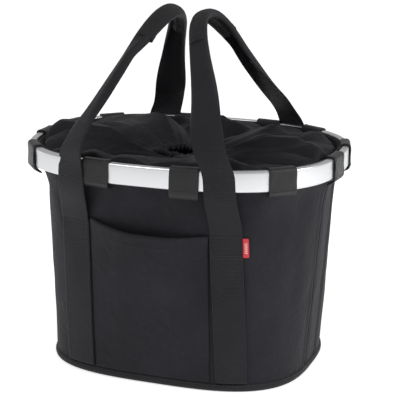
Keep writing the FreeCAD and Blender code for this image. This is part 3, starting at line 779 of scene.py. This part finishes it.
# ---- Straps and handles ----
# On each side one length of heavy webbing is sewn up the front, runs over the rim, stands up as
# the handle, and comes down the back the same way.  At the top its edges are rolled inwards.
webbing = ribbed("webbing", (0.0048, 0.0046, 0.0062), (0.0185, 0.0182, 0.0225), 2.3 * MM)
WEB_WIDTH, WEB_THICK = 37 * MM, 1.6 * MM
DRAWN_IN = {-1: 0.96, 1: 0.86}                # share of its width that the sewn webbing keeps
STRAP_X_RIM, SEWN_TOP = 84.5 * MM, 183 * MM
STRAP_X_SEWN = {-1: (87.5 * MM, 86.5 * MM), 1: (90 * MM, 84.5 * MM)}   # at the base, at the top seam
PIVOT_Z, LEAN = 258 * MM, {-1: math.radians(23.2), 1: math.radians(26.0)}
STRAP_SPACING = 2.6 * MM
SEWN_LOW, FREE_TOP = 10.8 * MM, 256 * MM
CLOTH_LIFT = 0.35 * MM                        # gap left under anything laid on the wall
POCKET_LIFT = 2.3 * MM                        # front straps lie on the pocket's edges
TOUCH_Z, TOUCH_DONE, TOUCH_OFF = 232 * MM, 231 * MM, 1.5 * MM          # where they meet the rim
LAP_STEP = 1.5 * MM                           # the handle's end laps over the sewn strap
HANDLE_LINE = np.array([                      # |y| and height above the pivot in the leaning plane
    (141.3, 6), (138.6, 14), (133.6, 24), (125.0, 37), (114.5, 52), (103.0, 67), (90.5, 83.5),
    (78.0, 99.5), (65.5, 116), (53.0, 131), (45, 139.8), (36.0, 147.6), (27, 153.2), (18.0, 157), (9, 159),
    (0.0, 159.6)]) * MM
ROLL_AT = np.array([0, 40, 65, 85, 105, 122, 136, 160]) * MM
ROLL_TURN = np.radians([0, 20, 62, 95, 130, 165, 188, 192])
SIDES, FACES = ((-1, "left"), (1, "right")), (-1, 1)                   # front, back
ROLL_FLAT, ROLL_POWER, ROLL_STEPS = 0.3, 1.15, 40
EASE_RUN = 38 * MM                            # the handle's section squares up over this run
TWIST_AT = np.array([-80, -36, -12, 14, 40, 112, 140, 160]) * MM
TWIST = {                                     # turn of the webbing about its own line, degrees
    (-1, -1): (0, -2, -7, -22, -50, -66, -16, 0), (-1, 1): (0, 0, 8, 22, 26, 18, 4, 0),
    (1, -1): (0, 1, 5, 6, 4, 2, 0, 0), (1, 1): (0, 0, -6, -14, -36, -46, -10, 0)}
BOW = {                                       # sideways bow of the webbing's line, mm along X
    (-1, -1): (0, 0, 0, -3, -6, -7, -2, 0), (-1, 1): (0, 0, 0, -1, -2.5, -2.5, -0.5, 0),
    (1, -1): (0, 0, -1, -4, -4, -1, 0, 0), (1, 1): (0, 0, -1, -5, -5, 1, 0, 0)}


def strap_middle(side, z):
    """Middle line of a sewn strap: it leans in from the base to the rim."""
    base, top = STRAP_X_SEWN[side]
    return side * (base + (top - base) * z / SEWN_TOP)


def strap_on_wall(side, face, z, across, lift):
    """Point of a sewn strap, across metres from its middle line, lifted off the wall."""
    return wall_place(angle_at(z, x=strap_middle(side, z) + across, side=face), z, lift)


def rim_touch(side, face, z, across, off):
    """Point just outside the rim, across metres from the strap's middle."""
    x = side * STRAP_X_RIM + across
    y = face * RIM_B * (1 - np.abs(x / RIM_A) ** RIM_N) ** (1 / RIM_N)
    return rim_place(np.arctan2(y, x), off, z)


def smoothstep(share):
    """Ease in and out between nought and one."""
    return 3 * share ** 2 - 2 * share ** 3


def handle_axes(side):
    """Directions in a handle's leaning plane: across the webbing, and up the handle."""
    c, n = math.cos(LEAN[side]), math.sin(LEAN[side])
    return np.array([c, 0, side * n]), np.array([-side * n, 0, c])


def handle_place(side, s, y):
    """Point of a handle's middle line: s above the pivot in the leaning plane, y along Y."""
    root = np.array([side * STRAP_X_RIM, 0, PIVOT_Z])
    return root + s[:, None] * handle_axes(side)[1] + y[:, None] * [0, 1.0, 0]


def roll(s, across):
    """Cross-section of the rolled webbing: the middle 0.3 stays flat, the rest turns inwards.

    Returns offsets along the width and towards the palm, by adding up small steps of the arc.
    """
    turn = np.interp(s, ROLL_AT, ROLL_TURN)[..., None]
    fine = np.linspace(0, 1, ROLL_STEPS + 1)
    bend = turn * np.clip((fine - ROLL_FLAT) / (1 - ROLL_FLAT), 0, 1) ** ROLL_POWER
    step = WEB_WIDTH / 2 / ROLL_STEPS
    place = np.abs(across) / (WEB_WIDTH / 2)
    found = []
    for part in (np.cos(bend), np.sin(bend)):
        reach = np.concatenate([np.zeros_like(turn), np.cumsum(part[..., :-1] * step, axis=-1)], -1)
        found.append(np.stack([np.interp(place, fine, row) for row in reach]))
    return found[0] * np.sign(across), found[1]


def turned(rows, turn):
    """Turns every row, by its own angle, about the line through the rows' middles."""
    middle = rows.mean(axis=1)
    along, arm = directions(middle)[:, None], rows - middle[:, None]
    c, n = np.cos(turn)[:, None, None], np.sin(turn)[:, None, None]
    rows = middle[:, None] + arm * c + np.cross(along, arm) * n
    return rows + along * (arm * along).sum(-1, keepdims=True) * (1 - c)


def half_ribbon(side, face, across, seed):
    """Rows of one half of the webbing, from the base up to the middle of the grip.

    Sewn rows follow the wall; free rows ease from it to the rim's outer face; the rows above
    are the rolled section set square to the handle's line.  Every free row is also turned
    about its own middle by the table of twists.
    """
    rng = np.random.default_rng(seed)
    lift = CLOTH_LIFT + WEB_THICK / 2 + (POCKET_LIFT if face < 0 else 0)
    kept = across[None, :] * (DRAWN_IN[side] if face < 0 else 1.0)
    z = np.arange(SEWN_LOW, SEWN_TOP, STRAP_SPACING)[:, None]
    sewn = strap_on_wall(side, face, z, kept, lift)
    z = np.arange(SEWN_TOP + STRAP_SPACING, FREE_TOP, STRAP_SPACING)[:, None]
    low = strap_on_wall(side, face, np.full_like(z, SEWN_TOP), kept, lift + LAP_STEP)
    high = rim_touch(side, face, np.full_like(z, TOUCH_Z), kept, TOUCH_OFF)
    share = smoothstep(np.clip((z - SEWN_TOP) / (TOUCH_DONE - SEWN_TOP), 0, 1))[..., None]
    free = low * (1 - share) + high * share
    free[..., 2] = z
    line = resample(HANDLE_LINE, 92, 4)
    y, s = line.T
    plane, up = handle_axes(side)
    step = directions(line)
    inward = -step[:, 1:2] * face * [0, 1.0, 0] + step[:, :1] * up
    wide, deep = roll(s, across)
    flutter = 0.5 * MM * np.sin(s[:, None] * 70 + rng.uniform(0, 6))
    deep = deep + flutter * (across / WEB_WIDTH * 2)[None, :] ** 2
    centre = handle_place(side, s, face * y)
    rise = centre[:, None] + wide[..., None] * plane + deep[..., None] * inward[:, None]
    square = free[-1] - free[-1].mean(axis=0)
    ease = smoothstep(np.clip((s - s[0]) / EASE_RUN, 0, 1))[:, None, None]
    middle = rise.mean(axis=1, keepdims=True)
    rise = middle + square * (1 - ease) + (rise - middle) * ease
    rows = np.concatenate([free, rise])
    above = np.concatenate([z[:, 0] - PIVOT_Z, s])
    rows[..., 0] += np.interp(above, TWIST_AT, BOW[side, face])[:, None] * MM
    rows = turned(rows, np.radians(np.interp(above, TWIST_AT, TWIST[side, face])))
    return np.concatenate([sewn, blur(rows, 8)])


def make_ribbon(side, word):
    """Whole length of one side: the front half, then the back half walked down again."""
    across = np.linspace(-1, 1, 25) * WEB_WIDTH / 2
    front = half_ribbon(side, -1, across, 7 + side)
    back = half_ribbon(side, 1, across, 17 + side)[::-1][1:]
    points = np.concatenate([front, back])
    top = len(points) // 2
    blur(points[top - 10:top + 11], 8)
    v = np.broadcast_to(across, points.shape[:2])
    u = np.broadcast_to(run_length(points, 0)[:, None], points.shape[:2])
    ribbon = surface("straps_" + word, points, uv=np.stack([u, v], -1))
    thicken(ribbon, WEB_THICK, 0.0).use_even_offset = True
    ribbon.data.materials.append(webbing)
    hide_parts("strap_front_" + word, "strap_back_" + word, "handle_webbing_" + word)
    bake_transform(ribbon)


for side, word in SIDES:
    make_ribbon(side, word)


# ---- Grips ----
# A sleeve of soft webbing is folded round the rolled top of each handle and sewn shut along
# the palm side, with a turned hem at both ends.
GRIP_WIDE, GRIP_DEEP, GRIP_END, GRIP_POWER = 17.8 * MM, 10.4 * MM, 54 * MM, 2.6
GRIP_DROP, GRIP_HEM, MOUTH = 2.9 * MM, 9 * MM, 0.62
grip_webbing = ribbed("grip_webbing", (0.006, 0.006, 0.007), (0.020, 0.020, 0.022), 1.2 * MM, 0.66,
                      0.9 * MM)


def make_grip(side, word):
    """Oval tube on the handle's top: width by depth, with a hem at the ends and a seam ridge."""
    rng = np.random.default_rng(60 + side)
    half = resample(HANDLE_LINE, 260, 8)
    half = half[half[:, 0] < GRIP_END]
    line = resample(np.concatenate([half * [-1, 1], half[::-1][1:]]), 150, 2)
    y, s = line.T
    plane, up = handle_axes(side)
    step = directions(line)
    out = -step[:, 1:2] * [0, 1.0, 0] + step[:, :1] * up
    centre = handle_place(side, s, y) - GRIP_DROP * out
    turn = np.linspace(0, 2 * np.pi, 49)[:-1]
    run = walked(line)
    away = np.minimum(run, run[-1] - run)
    hem = 0.55 * MM * (away < GRIP_HEM) + 0.35 * MM * np.exp(-((away - 1.0 * MM) / (1.2 * MM)) ** 2)
    hem = np.convolve(np.pad(hem, 2, "edge"), np.ones(5) / 5, "valid")
    ridge = 1.1 * MM * np.exp(-(((turn - 0.5 * np.pi) % (2 * np.pi) - np.pi) / 0.16) ** 2)
    run, away = run[:, None], away[:, None]
    crease = 0.28 * MM * np.sin(run * 520 + 3 * np.sin(turn) + rng.uniform(0, 6))
    crease = crease * np.clip(-np.sin(turn), 0, 1) * np.clip(away / 0.012, 0, 1)
    soft = 0.4 * MM * np.sin(run * 75 + 2 * turn + rng.uniform(0, 6))
    grow = hem[:, None] + ridge + crease + soft * np.clip(away / 0.02, 0, 1)
    c, n = np.cos(turn), np.sin(turn)
    reach = np.abs(c / (GRIP_WIDE / 2)) ** GRIP_POWER + np.abs(n / (GRIP_DEEP / 2)) ** GRIP_POWER
    reach = reach ** (-1 / GRIP_POWER) + grow
    points = centre[:, None] + (reach * c)[..., None] * plane + (reach * n)[..., None] * out[:, None]
    first, last = (centre[k] + (points[k] - centre[k]) * MOUTH for k in (0, -1))
    points = np.concatenate([first[None], points, last[None]])
    grip = surface("grip_sleeve_" + word, points, wrap=(False, True))
    capped(grip, *points.shape[:2])
    fit(grip, "handle_" + word, "grip_webbing", grip_webbing, "handle_grip_" + word)


for side, word in SIDES:
    make_grip(side, word)


# ---- Front pocket ----
# One flat panel of the tub's cloth under the front straps' edges, its mouth turned in and sewn
# with two rows; it stands off the wall towards the top, so that the mouth gapes.
POCKET_HALF, POCKET_TOP, POCKET_DIP, POCKET_BULGE = 67 * MM, 186 * MM, 5 * MM, 13 * MM
POCKET_SLOPE = 3.6 * MM
POCKET_LOW, POCKET_CLOTH = 10.6 * MM, 1.2 * MM


def mouth_height(x):
    """The mouth dips in the middle, a parabola between the straps, and falls to the right."""
    across = x / POCKET_HALF
    return POCKET_TOP - POCKET_DIP * (1 - across ** 2) - POCKET_SLOPE * (1 + across)


def pocket_place(x, z, lift=0.0):
    """Point of the pocket: the wall, moved out by a bulge that grows upwards and to the middle."""
    share = (z - POCKET_LOW) / (POCKET_TOP - POCKET_LOW)
    middle = 1 - (x / POCKET_HALF) ** 2
    bulge = POCKET_BULGE * np.maximum(middle, 0) ** 0.9 * (0.25 * share + 0.75 * share ** 2.2)
    slack = 1.6 * MM * np.exp(-((x - 0.030 + 0.10 * (z - 0.1)) / 0.012) ** 2) * np.sin(np.pi * share)
    slack = slack + 1.3 * MM * np.exp(-((x + 0.036 - 0.14 * (z - 0.1)) / 0.014) ** 2) * share
    slack = slack + 0.5 * MM * np.sin(70 * x + 22 * z) * np.sin(30 * z) * share
    angle = angle_at(z, x=x, side=-1)
    point = wall_place(angle, z, CLOTH_LIFT + lift, relief=0.55)
    point[..., 1] -= bulge + slack * np.clip(middle * 2, 0, 1)
    return point


def make_pocket():
    """Panel in rows from the base to the mouth, then one row turned in behind the hem."""
    x = np.linspace(-POCKET_HALF, POCKET_HALF, 110)[None, :]
    share = np.linspace(0, 1, 90)[:, None]
    z = POCKET_LOW + (mouth_height(x) - POCKET_LOW) * share
    drop = mouth_height(x) - z
    hem = 0.55 * MM * (1 / (1 + np.exp((drop - 13.5 * MM) / (0.5 * MM))))
    hem = hem + 0.5 * MM * np.exp(-((drop - 0.8 * MM) / (1.4 * MM)) ** 2)
    hem = hem - 0.45 * MM * (np.exp(-((drop - 12.2 * MM) / (0.7 * MM)) ** 2)
                             + np.exp(-((drop - 9.6 * MM) / (0.7 * MM)) ** 2))
    points = pocket_place(x, z, POCKET_CLOTH + hem)
    back = pocket_place(x, mouth_height(x), 0.1 * MM)
    points = np.concatenate([points, (points[-1:] * 0.5 + back * 0.5 + [0, 0, 0.5 * MM])])
    pocket = surface("pocket_cloth", points)
    thicken(pocket, POCKET_CLOTH)
    fit(pocket, "tub", "tub_cloth", tub_cloth, "pocket_panel", "pocket_hem")


make_pocket()


# ---- Gathered cover ----
# A thin cloth sewn inside the wall's top edge.  A drawn elastic in its hem gathers it to a
# small opening, so it lies in loose billows that run in to fine pleats.
COVER_RINGS = np.array([                      # way in, half sizes, squareness, height, shift back
    (0.00, 167.0, 133.0, 2.50, 243.0, 0.0), (0.05, 166.0, 132.0, 2.50, 251.0, 0.0),
    (0.12, 161.5, 128.0, 2.45, 258.5, 0.0), (0.26, 146.0, 113.5, 2.35, 263.0, -0.5),
    (0.44, 120.0, 92.0, 2.20, 264.0, -3.0), (0.60, 94.0, 71.0, 2.10, 261.5, -7.0),
    (0.74, 71.0, 52.0, 2.00, 254.5, -11.5), (0.88, 49.0, 36.0, 2.00, 246.5, -16.0),
    (1.00, 35.2, 25.2, 2.00, 243.5, -18.0)])
COVER_ROWS, COVER_COLS, COVER_THICK = 120, 640, 0.5 * MM
COVER_SAG, COVER_TILT, COVER_TOP = 7.5 * MM, 3.0 * MM, 271.5 * MM
# Angle at the rim and at the neck, height in mm, half width, way in, reach along the way.
BILLOWS = (
    (-174, -150, 19, 10, 0.50, 0.36), (-2, -18, 17, 9, 0.50, 0.36), (146, 128, 11, 18, 0.50, 0.26),
    (84, 92, 10, 34, 0.46, 0.10), (44, 40, 7, 10, 0.50, 0.25), (-58, -62, 6, 7, 0.28, 0.18),
    (-88, -94, -12, 26, 0.62, 0.30), (-140, -124, -16, 16, 0.46, 0.28), (-30, -46, -15, 14, 0.48, 0.28),
    (168, 176, -15, 9, 0.58, 0.32), (20, 12, -15, 9, 0.56, 0.30), (112, 106, -12, 9, 0.55, 0.25),
    (66, 60, -10, 8, 0.60, 0.25))


def bell(way, middle, width):
    """Smooth bump along the way in from the rim."""
    return np.exp(-((way - middle) / width) ** 2)


def lobes(turns, softness):
    """Billows side by side: broad rounded crests parted by narrow valleys, as |cos| to a low power."""
    return (np.cos(turns) ** 2 + softness) ** 0.32 - 0.72


def cover_surface():
    """Cover in rows going in from the rim: even rings, lifted by billows, folds and pleats.

    Nineteen small billows stand along the rim, slanted and unevenly spaced; the large ones
    and the hollows between them are bells in angle.  A few long folds wind through them.
    The pleats are a sharpened sine, 26 round the opening, gone half way to the rim.
    """
    rng = np.random.default_rng(11)
    way = np.linspace(0, 1, COVER_ROWS)[:, None]
    angle = even_angles(COVER_COLS, 120 * MM, 95 * MM, 2.2)[None, :]
    at = COVER_RINGS[:, 0]
    a, b, z, back = (np.interp(way, at, COVER_RINGS[:, k]) * MM for k in (1, 2, 4, 5))
    n = np.interp(way, at, COVER_RINGS[:, 3])
    for table in (a, b, z, back):
        blur(table, 14)
    uneven = 0.55 * np.sin(2 * angle + 0.6) + 0.35 * np.sin(5 * angle + 2.0)
    small = lobes(9.5 * angle + 1.1 * np.sin(3 * angle + 1) + 2.6 * way + uneven, 0.006)
    height = 6.5 * MM * small * bell(way, 0.17, 0.17)
    for start, stop, rise, width, middle, reach in BILLOWS:
        line = start + (stop - start) * way + 5 * np.sin(6.5 * way + start)
        t = np.abs((np.degrees(angle) - line + 180) % 360 - 180) / width
        height += rise * MM * np.exp(-t ** (1.5 if rise > 0 else 1.9)) * bell(way, middle, reach)
    sideways = np.zeros_like(height)
    for _ in range(34):
        start, slide = rng.uniform(-180, 180), rng.uniform(-42, 42)
        rise, width, middle = rng.uniform(1.2, 3.4), rng.uniform(2.0, 4.2), rng.uniform(0.2, 0.75)
        off = (np.degrees(angle) - start - slide * way - 5 * np.sin(4 * way + start) + 180) % 360 - 180
        t = off / (width * (0.7 + 0.7 * way))
        height += rise * MM * np.exp(-np.abs(t) ** 1.35) * bell(way, middle, 0.17)
        sideways += 0.5 * rise * t * np.exp(-t ** 2) * bell(way, middle, 0.17)
    swag = np.sin(17 * way + 2.5 * np.sin(3 * angle) + 1.5 * np.sin(5 * angle + 1))
    height += 1.3 * MM * swag * bell(way, 0.45, 0.3) * (0.6 + 0.4 * np.sin(4 * angle + 1))
    phase = 26 * angle + 1.6 * np.sin(3 * angle + 1) + 2.0 * np.sin(3 * way + 2 * angle)
    pleat = (np.sin(phase / 2) ** 2 + 0.01) ** 0.4 - 0.55
    pleat_way = np.clip((way - 0.62) / 0.38, 0, 1) ** 1.2
    height += 6.0 * MM * pleat * pleat_way * (0.75 + 0.25 * np.sin(7 * angle + 2))
    rim_hold = np.clip(way / 0.10, 0, 1) ** 1.2
    height *= rim_hold * np.clip((1.04 - way) / 0.2, 0.35, 1)
    angle = angle + np.radians(sideways) * rim_hold
    x, y = outline(angle, a, b, n)
    nx, ny = outward(angle, a, b, n)
    push = height * (0.15 + 0.45 * way) * (way > 0.05)
    sunk = (COVER_SAG + COVER_TILT * np.sin(angle)) * bell(way, 0.40, 0.3)
    top = np.minimum(z + height - sunk, COVER_TOP)
    return np.stack([x + nx * push, y + ny * push + back, top], axis=-1)


cover_cloth = cloth("cover_cloth", (0.0027, 0.0026, 0.0042), (0.0100, 0.0097, 0.0145),
                    pitch=0.4 * MM, roughness=0.58, sheen=0.03, depth=0.3, wrinkle=0.45)
cover = surface("gathered_cover_cloth", cover_surface(), wrap=(False, True), flip=True)
thicken(cover, COVER_THICK)
fit(cover, "tub", "cover_cloth", cover_cloth, "gathered_cover")


HEM_A, HEM_B, HEM_Z, HEM_BACK = 31.8 * MM, 21.8 * MM, 243.7 * MM, 18 * MM


def hem_surface():
    """Hem tube round the opening: a ring tube whose radius crinkles with the pleats."""
    around = np.linspace(0, 2 * np.pi, 421)[:-1][:, None]
    turn = np.linspace(0, 2 * np.pi, 25)[:-1][None, :]
    phase = 26 * around + 1.6 * np.sin(3 * around + 1)
    crinkle = np.abs(np.sin(phase / 2)) ** 0.6 - 0.55
    radius = (4.0 + 1.5 * crinkle + 0.3 * np.sin(2 * turn + 9 * around)) * MM
    lift = HEM_Z + 0.9 * MM * np.sin(3 * around + 2) + 0.5 * MM * np.sin(7 * around)
    x, y = outline(around, HEM_A, HEM_B, 2.0)
    nx, ny = outward(around, HEM_A, HEM_B, 2.0)
    off, rise = radius * np.cos(turn), radius * np.sin(turn)
    return np.stack(np.broadcast_arrays(x + nx * off, y - HEM_BACK + ny * off, lift + rise), -1)


hem = surface("cover_hem_tube", hem_surface(), wrap=(True, True), flip=True)
fit(hem, "tub", "cover_cloth", cover_cloth, "cover_hem")
finish_node("hem_elastic", ribbed("elastic", (0.012, 0.012, 0.013), (0.05, 0.05, 0.05), 1.2 * MM))


# ---- Side label ----
# A folded tape of satin-woven red, caught under the outer edge of the right front strap, with
# a plain chevron pattern in pale thread.
LABEL_WIDE, LABEL_TALL, LABEL_MIDDLE, LABEL_THICK = 6.0 * MM, 21.0 * MM, 168 * MM, 0.35 * MM
LABEL_OUT, LABEL_FOLD, LABEL_LIFT, LABEL_HALF_GAP = (0.3, 5.2), (0.3, 2.84), 3.2, 0.55   # mm, radians


def woven_label():
    """Red tape with pale chevrons: a zigzag in the label's own UV, kept clear of its ends."""
    material, tree, shader = new_material("label_tape", (0.55, 0.012, 0.018), 0.45)
    shader.inputs["Sheen Weight"].default_value = 0.1
    uv = cloth_place(tree)
    split = new_node(tree, "ShaderNodeSeparateXYZ", Vector=uv)
    up, out = split.outputs["X"], split.outputs["Y"]
    along = maths(tree, "ADD", up, maths(tree, "PINGPONG", out, 1.4 * MM))
    stripe = maths(tree, "FRACT", maths(tree, "DIVIDE", along, 2.4 * MM))
    line = maths(tree, "COMPARE", stripe, 0.5, 0.16)
    inside = maths(tree, "COMPARE", up, LABEL_TALL / 2, LABEL_TALL * 0.30)
    band = maths(tree, "COMPARE", out, LABEL_WIDE * 0.55, LABEL_WIDE * 0.26)
    mask = maths(tree, "MULTIPLY", line, maths(tree, "MULTIPLY", inside, band))
    woven = place_group(tree, weave_group, Place=uv, Pitch=0.28 * MM)
    # painted shade: the red darkens where the weave dips between threads
    red = tint(tree, woven["GapShade"], (0.60, 0.014, 0.022), (0.34, 0.006, 0.010))
    plug(tree, shader.inputs["Base Color"], tint(tree, mask, red, (0.75, 0.72, 0.70)))
    add_bump(tree, shader, woven["Height"], 0.5, 0.2 * MM)
    return material


def make_label():
    """Tape folded on itself: rows run up it, columns go out from the seam, round the fold, back."""
    rise = np.linspace(-LABEL_TALL / 2, LABEL_TALL / 2, 34)[:, None]
    z = LABEL_MIDDLE + rise
    near_seam, far = LABEL_OUT
    fold = np.linspace(*LABEL_FOLD, 6)
    out = np.concatenate([np.linspace(near_seam, far, 12), far + LABEL_HALF_GAP * np.sin(fold),
                          np.linspace(far, near_seam, 12)]) * MM
    lift = (LABEL_LIFT + LABEL_HALF_GAP * np.concatenate([np.ones(12), np.cos(fold), -np.ones(12)])) * MM
    edge = strap_middle(1, z) + DRAWN_IN[1] * WEB_WIDTH / 2
    corner = 1 - 0.05 * np.clip(np.abs(rise) / (LABEL_TALL / 2), 0, 1) ** 8
    curl = 0.25 * MM * np.sin(rise / LABEL_TALL * 5 + 1) * (out / out.max())
    points = wall_place(angle_at(z, x=edge + out * corner, side=-1), z, lift + curl)
    label = surface("side_label_tape", points)
    thicken(label, LABEL_THICK, 0.0)
    fit(label, "tub", "label_cloth", woven_label(), "side_label")


make_label()


# ---- Stitches ----
# Polyester thread: lock stitches sunk a little in the cloth, one short capsule each.
thread_black, tree, shader = new_material("thread_black", (0.010, 0.010, 0.011), 0.5)
twist = new_node(tree, "ShaderNodeTexWave", Vector=object_place(tree), Scale=900.0, Distortion=1.0)
plug(tree, shader.inputs["Base Color"],
     tint(tree, twist.outputs["Fac"], (0.008, 0.008, 0.009), (0.035, 0.035, 0.038)))
add_bump(tree, shader, twist.outputs["Fac"], 0.4, 0.2 * MM)
# Rings of one stitch: place along it, share of its radius, height above the line it follows.
SPINDLE = ((-0.5, 0.35, -0.8), (-0.3, 0.95, 0.2), (0.3, 0.95, 0.2), (0.5, 0.35, -0.8))


def unit(vectors):
    return vectors / np.linalg.norm(vectors, axis=1, keepdims=True)


def stitch_row(points, normals, pitch=3.1 * MM, length=2.4 * MM, radius=0.28 * MM):
    """Corners and faces of one row: six-sided spindles at even steps along a line."""
    run = walked(points)
    count = max(int(run[-1] / pitch), 1)
    marks = (np.arange(count) + 0.5) * run[-1] / count
    at, normal = read_line(points, run, marks), read_line(normals, run, marks)
    ahead = read_line(points, run, np.minimum(marks + 1 * MM, run[-1]))
    way = unit(ahead - read_line(points, run, marks - 1 * MM))
    side = unit(np.cross(way, normal))
    up = np.cross(side, way)
    turn = np.arange(6) * np.pi / 3
    parts = []
    for t, size, sink in SPINDLE:
        ring = (size * np.cos(turn)[None, :, None] * side[:, None]
                + (size * np.sin(turn)[None, :, None] + sink) * up[:, None]) * radius
        parts.append(at[:, None] + ring + (t * length * way)[:, None])
    corners = np.concatenate(parts, axis=1)
    k = np.arange(6)
    after = (k + 1) % 6
    quads = np.concatenate([6 * r + np.stack([k, after, 6 + after, 6 + k], 1) for r in range(3)])
    faces = (quads[None] + 24 * np.arange(count)[:, None, None]).reshape(-1, 4)
    ends = [(k[::-1] + 24 * c).tolist() for c in range(count)]
    ends += [(k + 18 + 24 * c).tolist() for c in range(count)]
    return corners.reshape(-1, 3), faces.tolist() + ends


def stitches(name, body, rows, slot):
    """One piece from many rows of stitches."""
    corners, faces, start = [], [], 0
    for row in rows:
        found, built = stitch_row(*row)
        corners.append(found)
        faces += [[k + start for k in face] for face in built]
        start += len(found)
    mesh = bpy.data.meshes.new(name)
    mesh.from_pydata(np.concatenate(corners).tolist(), [], faces)
    mesh.uv_layers.new(name="cloth")
    mesh.shade_smooth()
    piece = bpy.data.objects.new(name, mesh)
    bpy.context.scene.collection.objects.link(piece)
    return fit(piece, body, slot, thread_black)


def outside(points):
    """A line with its normals: level, away from the tub's axis, good enough to seat a stitch."""
    return points, unit(points * [1 / RIM_A ** 2, 1 / RIM_B ** 2, 0])


x = np.linspace(-64, 64, 160) * MM
rows = [outside(pocket_place(x, mouth_height(x) - drop * MM, POCKET_CLOTH + 0.12 * MM))
        for drop in (12.2, 9.6)]
stitches("pocket_hem_stitches", "tub", rows, "tub_cloth")

STITCH_OUT, STITCH_LOW = 15.6 * MM, 14 * MM   # from the webbing's middle, height of the first one
rows = []
for side, word in SIDES:
    for face in FACES:
        lift = CLOTH_LIFT + WEB_THICK + (POCKET_LIFT if face < 0 else 0) + 0.08 * MM
        z = np.linspace(STITCH_LOW, SEWN_TOP - 2 * MM, 140)
        for across in (-STITCH_OUT, STITCH_OUT):
            rows.append(outside(strap_on_wall(side, face, z, across, lift)))
        across = np.linspace(-STITCH_OUT, STITCH_OUT, 40)
        for drop in (3, 24, 27):
            z = np.full_like(across, SEWN_TOP - drop * MM)
            rows.append(outside(strap_on_wall(side, face, z, across, lift)))
stitches("strap_stitches", "tub", rows, "webbing")

z = np.linspace(14, 232, 160) * MM
rows = [outside(wall_place(angle_at(z, y=y, side=end), z, 0.85 * MM))
        for end in (-1, 1) for y in (-SEAM_HALF - 3.6 * MM, SEAM_HALF + 3.6 * MM)]
stitches("seam_stitches", "tub", rows, "tub_cloth")

ring = even_angles(700, LEVEL_A[0], LEVEL_B[0], LEVEL_N[0])
stitches("binding_stitches", "tub", [outside(base_ring(ring, 3.35 * MM, 7.6 * MM))], "binding_cloth")

LOOP_ROW, LOOP_Z, LOOP_OFF = 27 * MM, 231.8 * MM, 2.75 * MM
rows = []
for centre in TAB_ANGLES:
    reach = LOOP_ROW / np.hypot(*outline(centre, RIM_A, RIM_B, RIM_N))
    rows.append(outside(rim_place(centre + np.linspace(-0.5, 0.5, 30) * reach, LOOP_OFF, LOOP_Z)))
stitches("loop_stitches", "tub", rows, "tab_cloth")


# ---- Mounting plate, backing and fasteners ----
# A moulded plate with two rails and a latch window takes the handlebar bracket.  Four screws
# go through it, the wall, the stiffener and a thin aluminium plate inside.
finish_node("mount_plate", moulded("plate_plastic", (0.012, 0.012, 0.013), 0.45))
finish_node("backing_plate", anodised("backing_aluminium", (0.55, 0.56, 0.57)))


def turned_steel(name, color, roughness):
    """Zinc-plated steel: small bright and dull spots."""
    material, tree, shader = new_material(name, color, roughness, 1.0)
    spots = noise(tree, object_place(tree), 500.0, 3.0)
    plug(tree, shader.inputs["Roughness"], maths(tree, "MULTIPLY_ADD", spots, 0.3, roughness - 0.12))
    plug(tree, shader.inputs["Base Color"], tint(tree, spots, tuple(0.8 * c for c in color), color))
    add_bump(tree, shader, spots, 0.15, 0.2 * MM)
    return material


finish_node("mount_screws", turned_steel("screw_steel", (0.30, 0.30, 0.31), 0.38))
finish_node("mount_washers", turned_steel("washer_steel", (0.60, 0.60, 0.62), 0.33))
finish_node("mount_nuts", turned_steel("nut_steel", (0.58, 0.58, 0.60), 0.36))
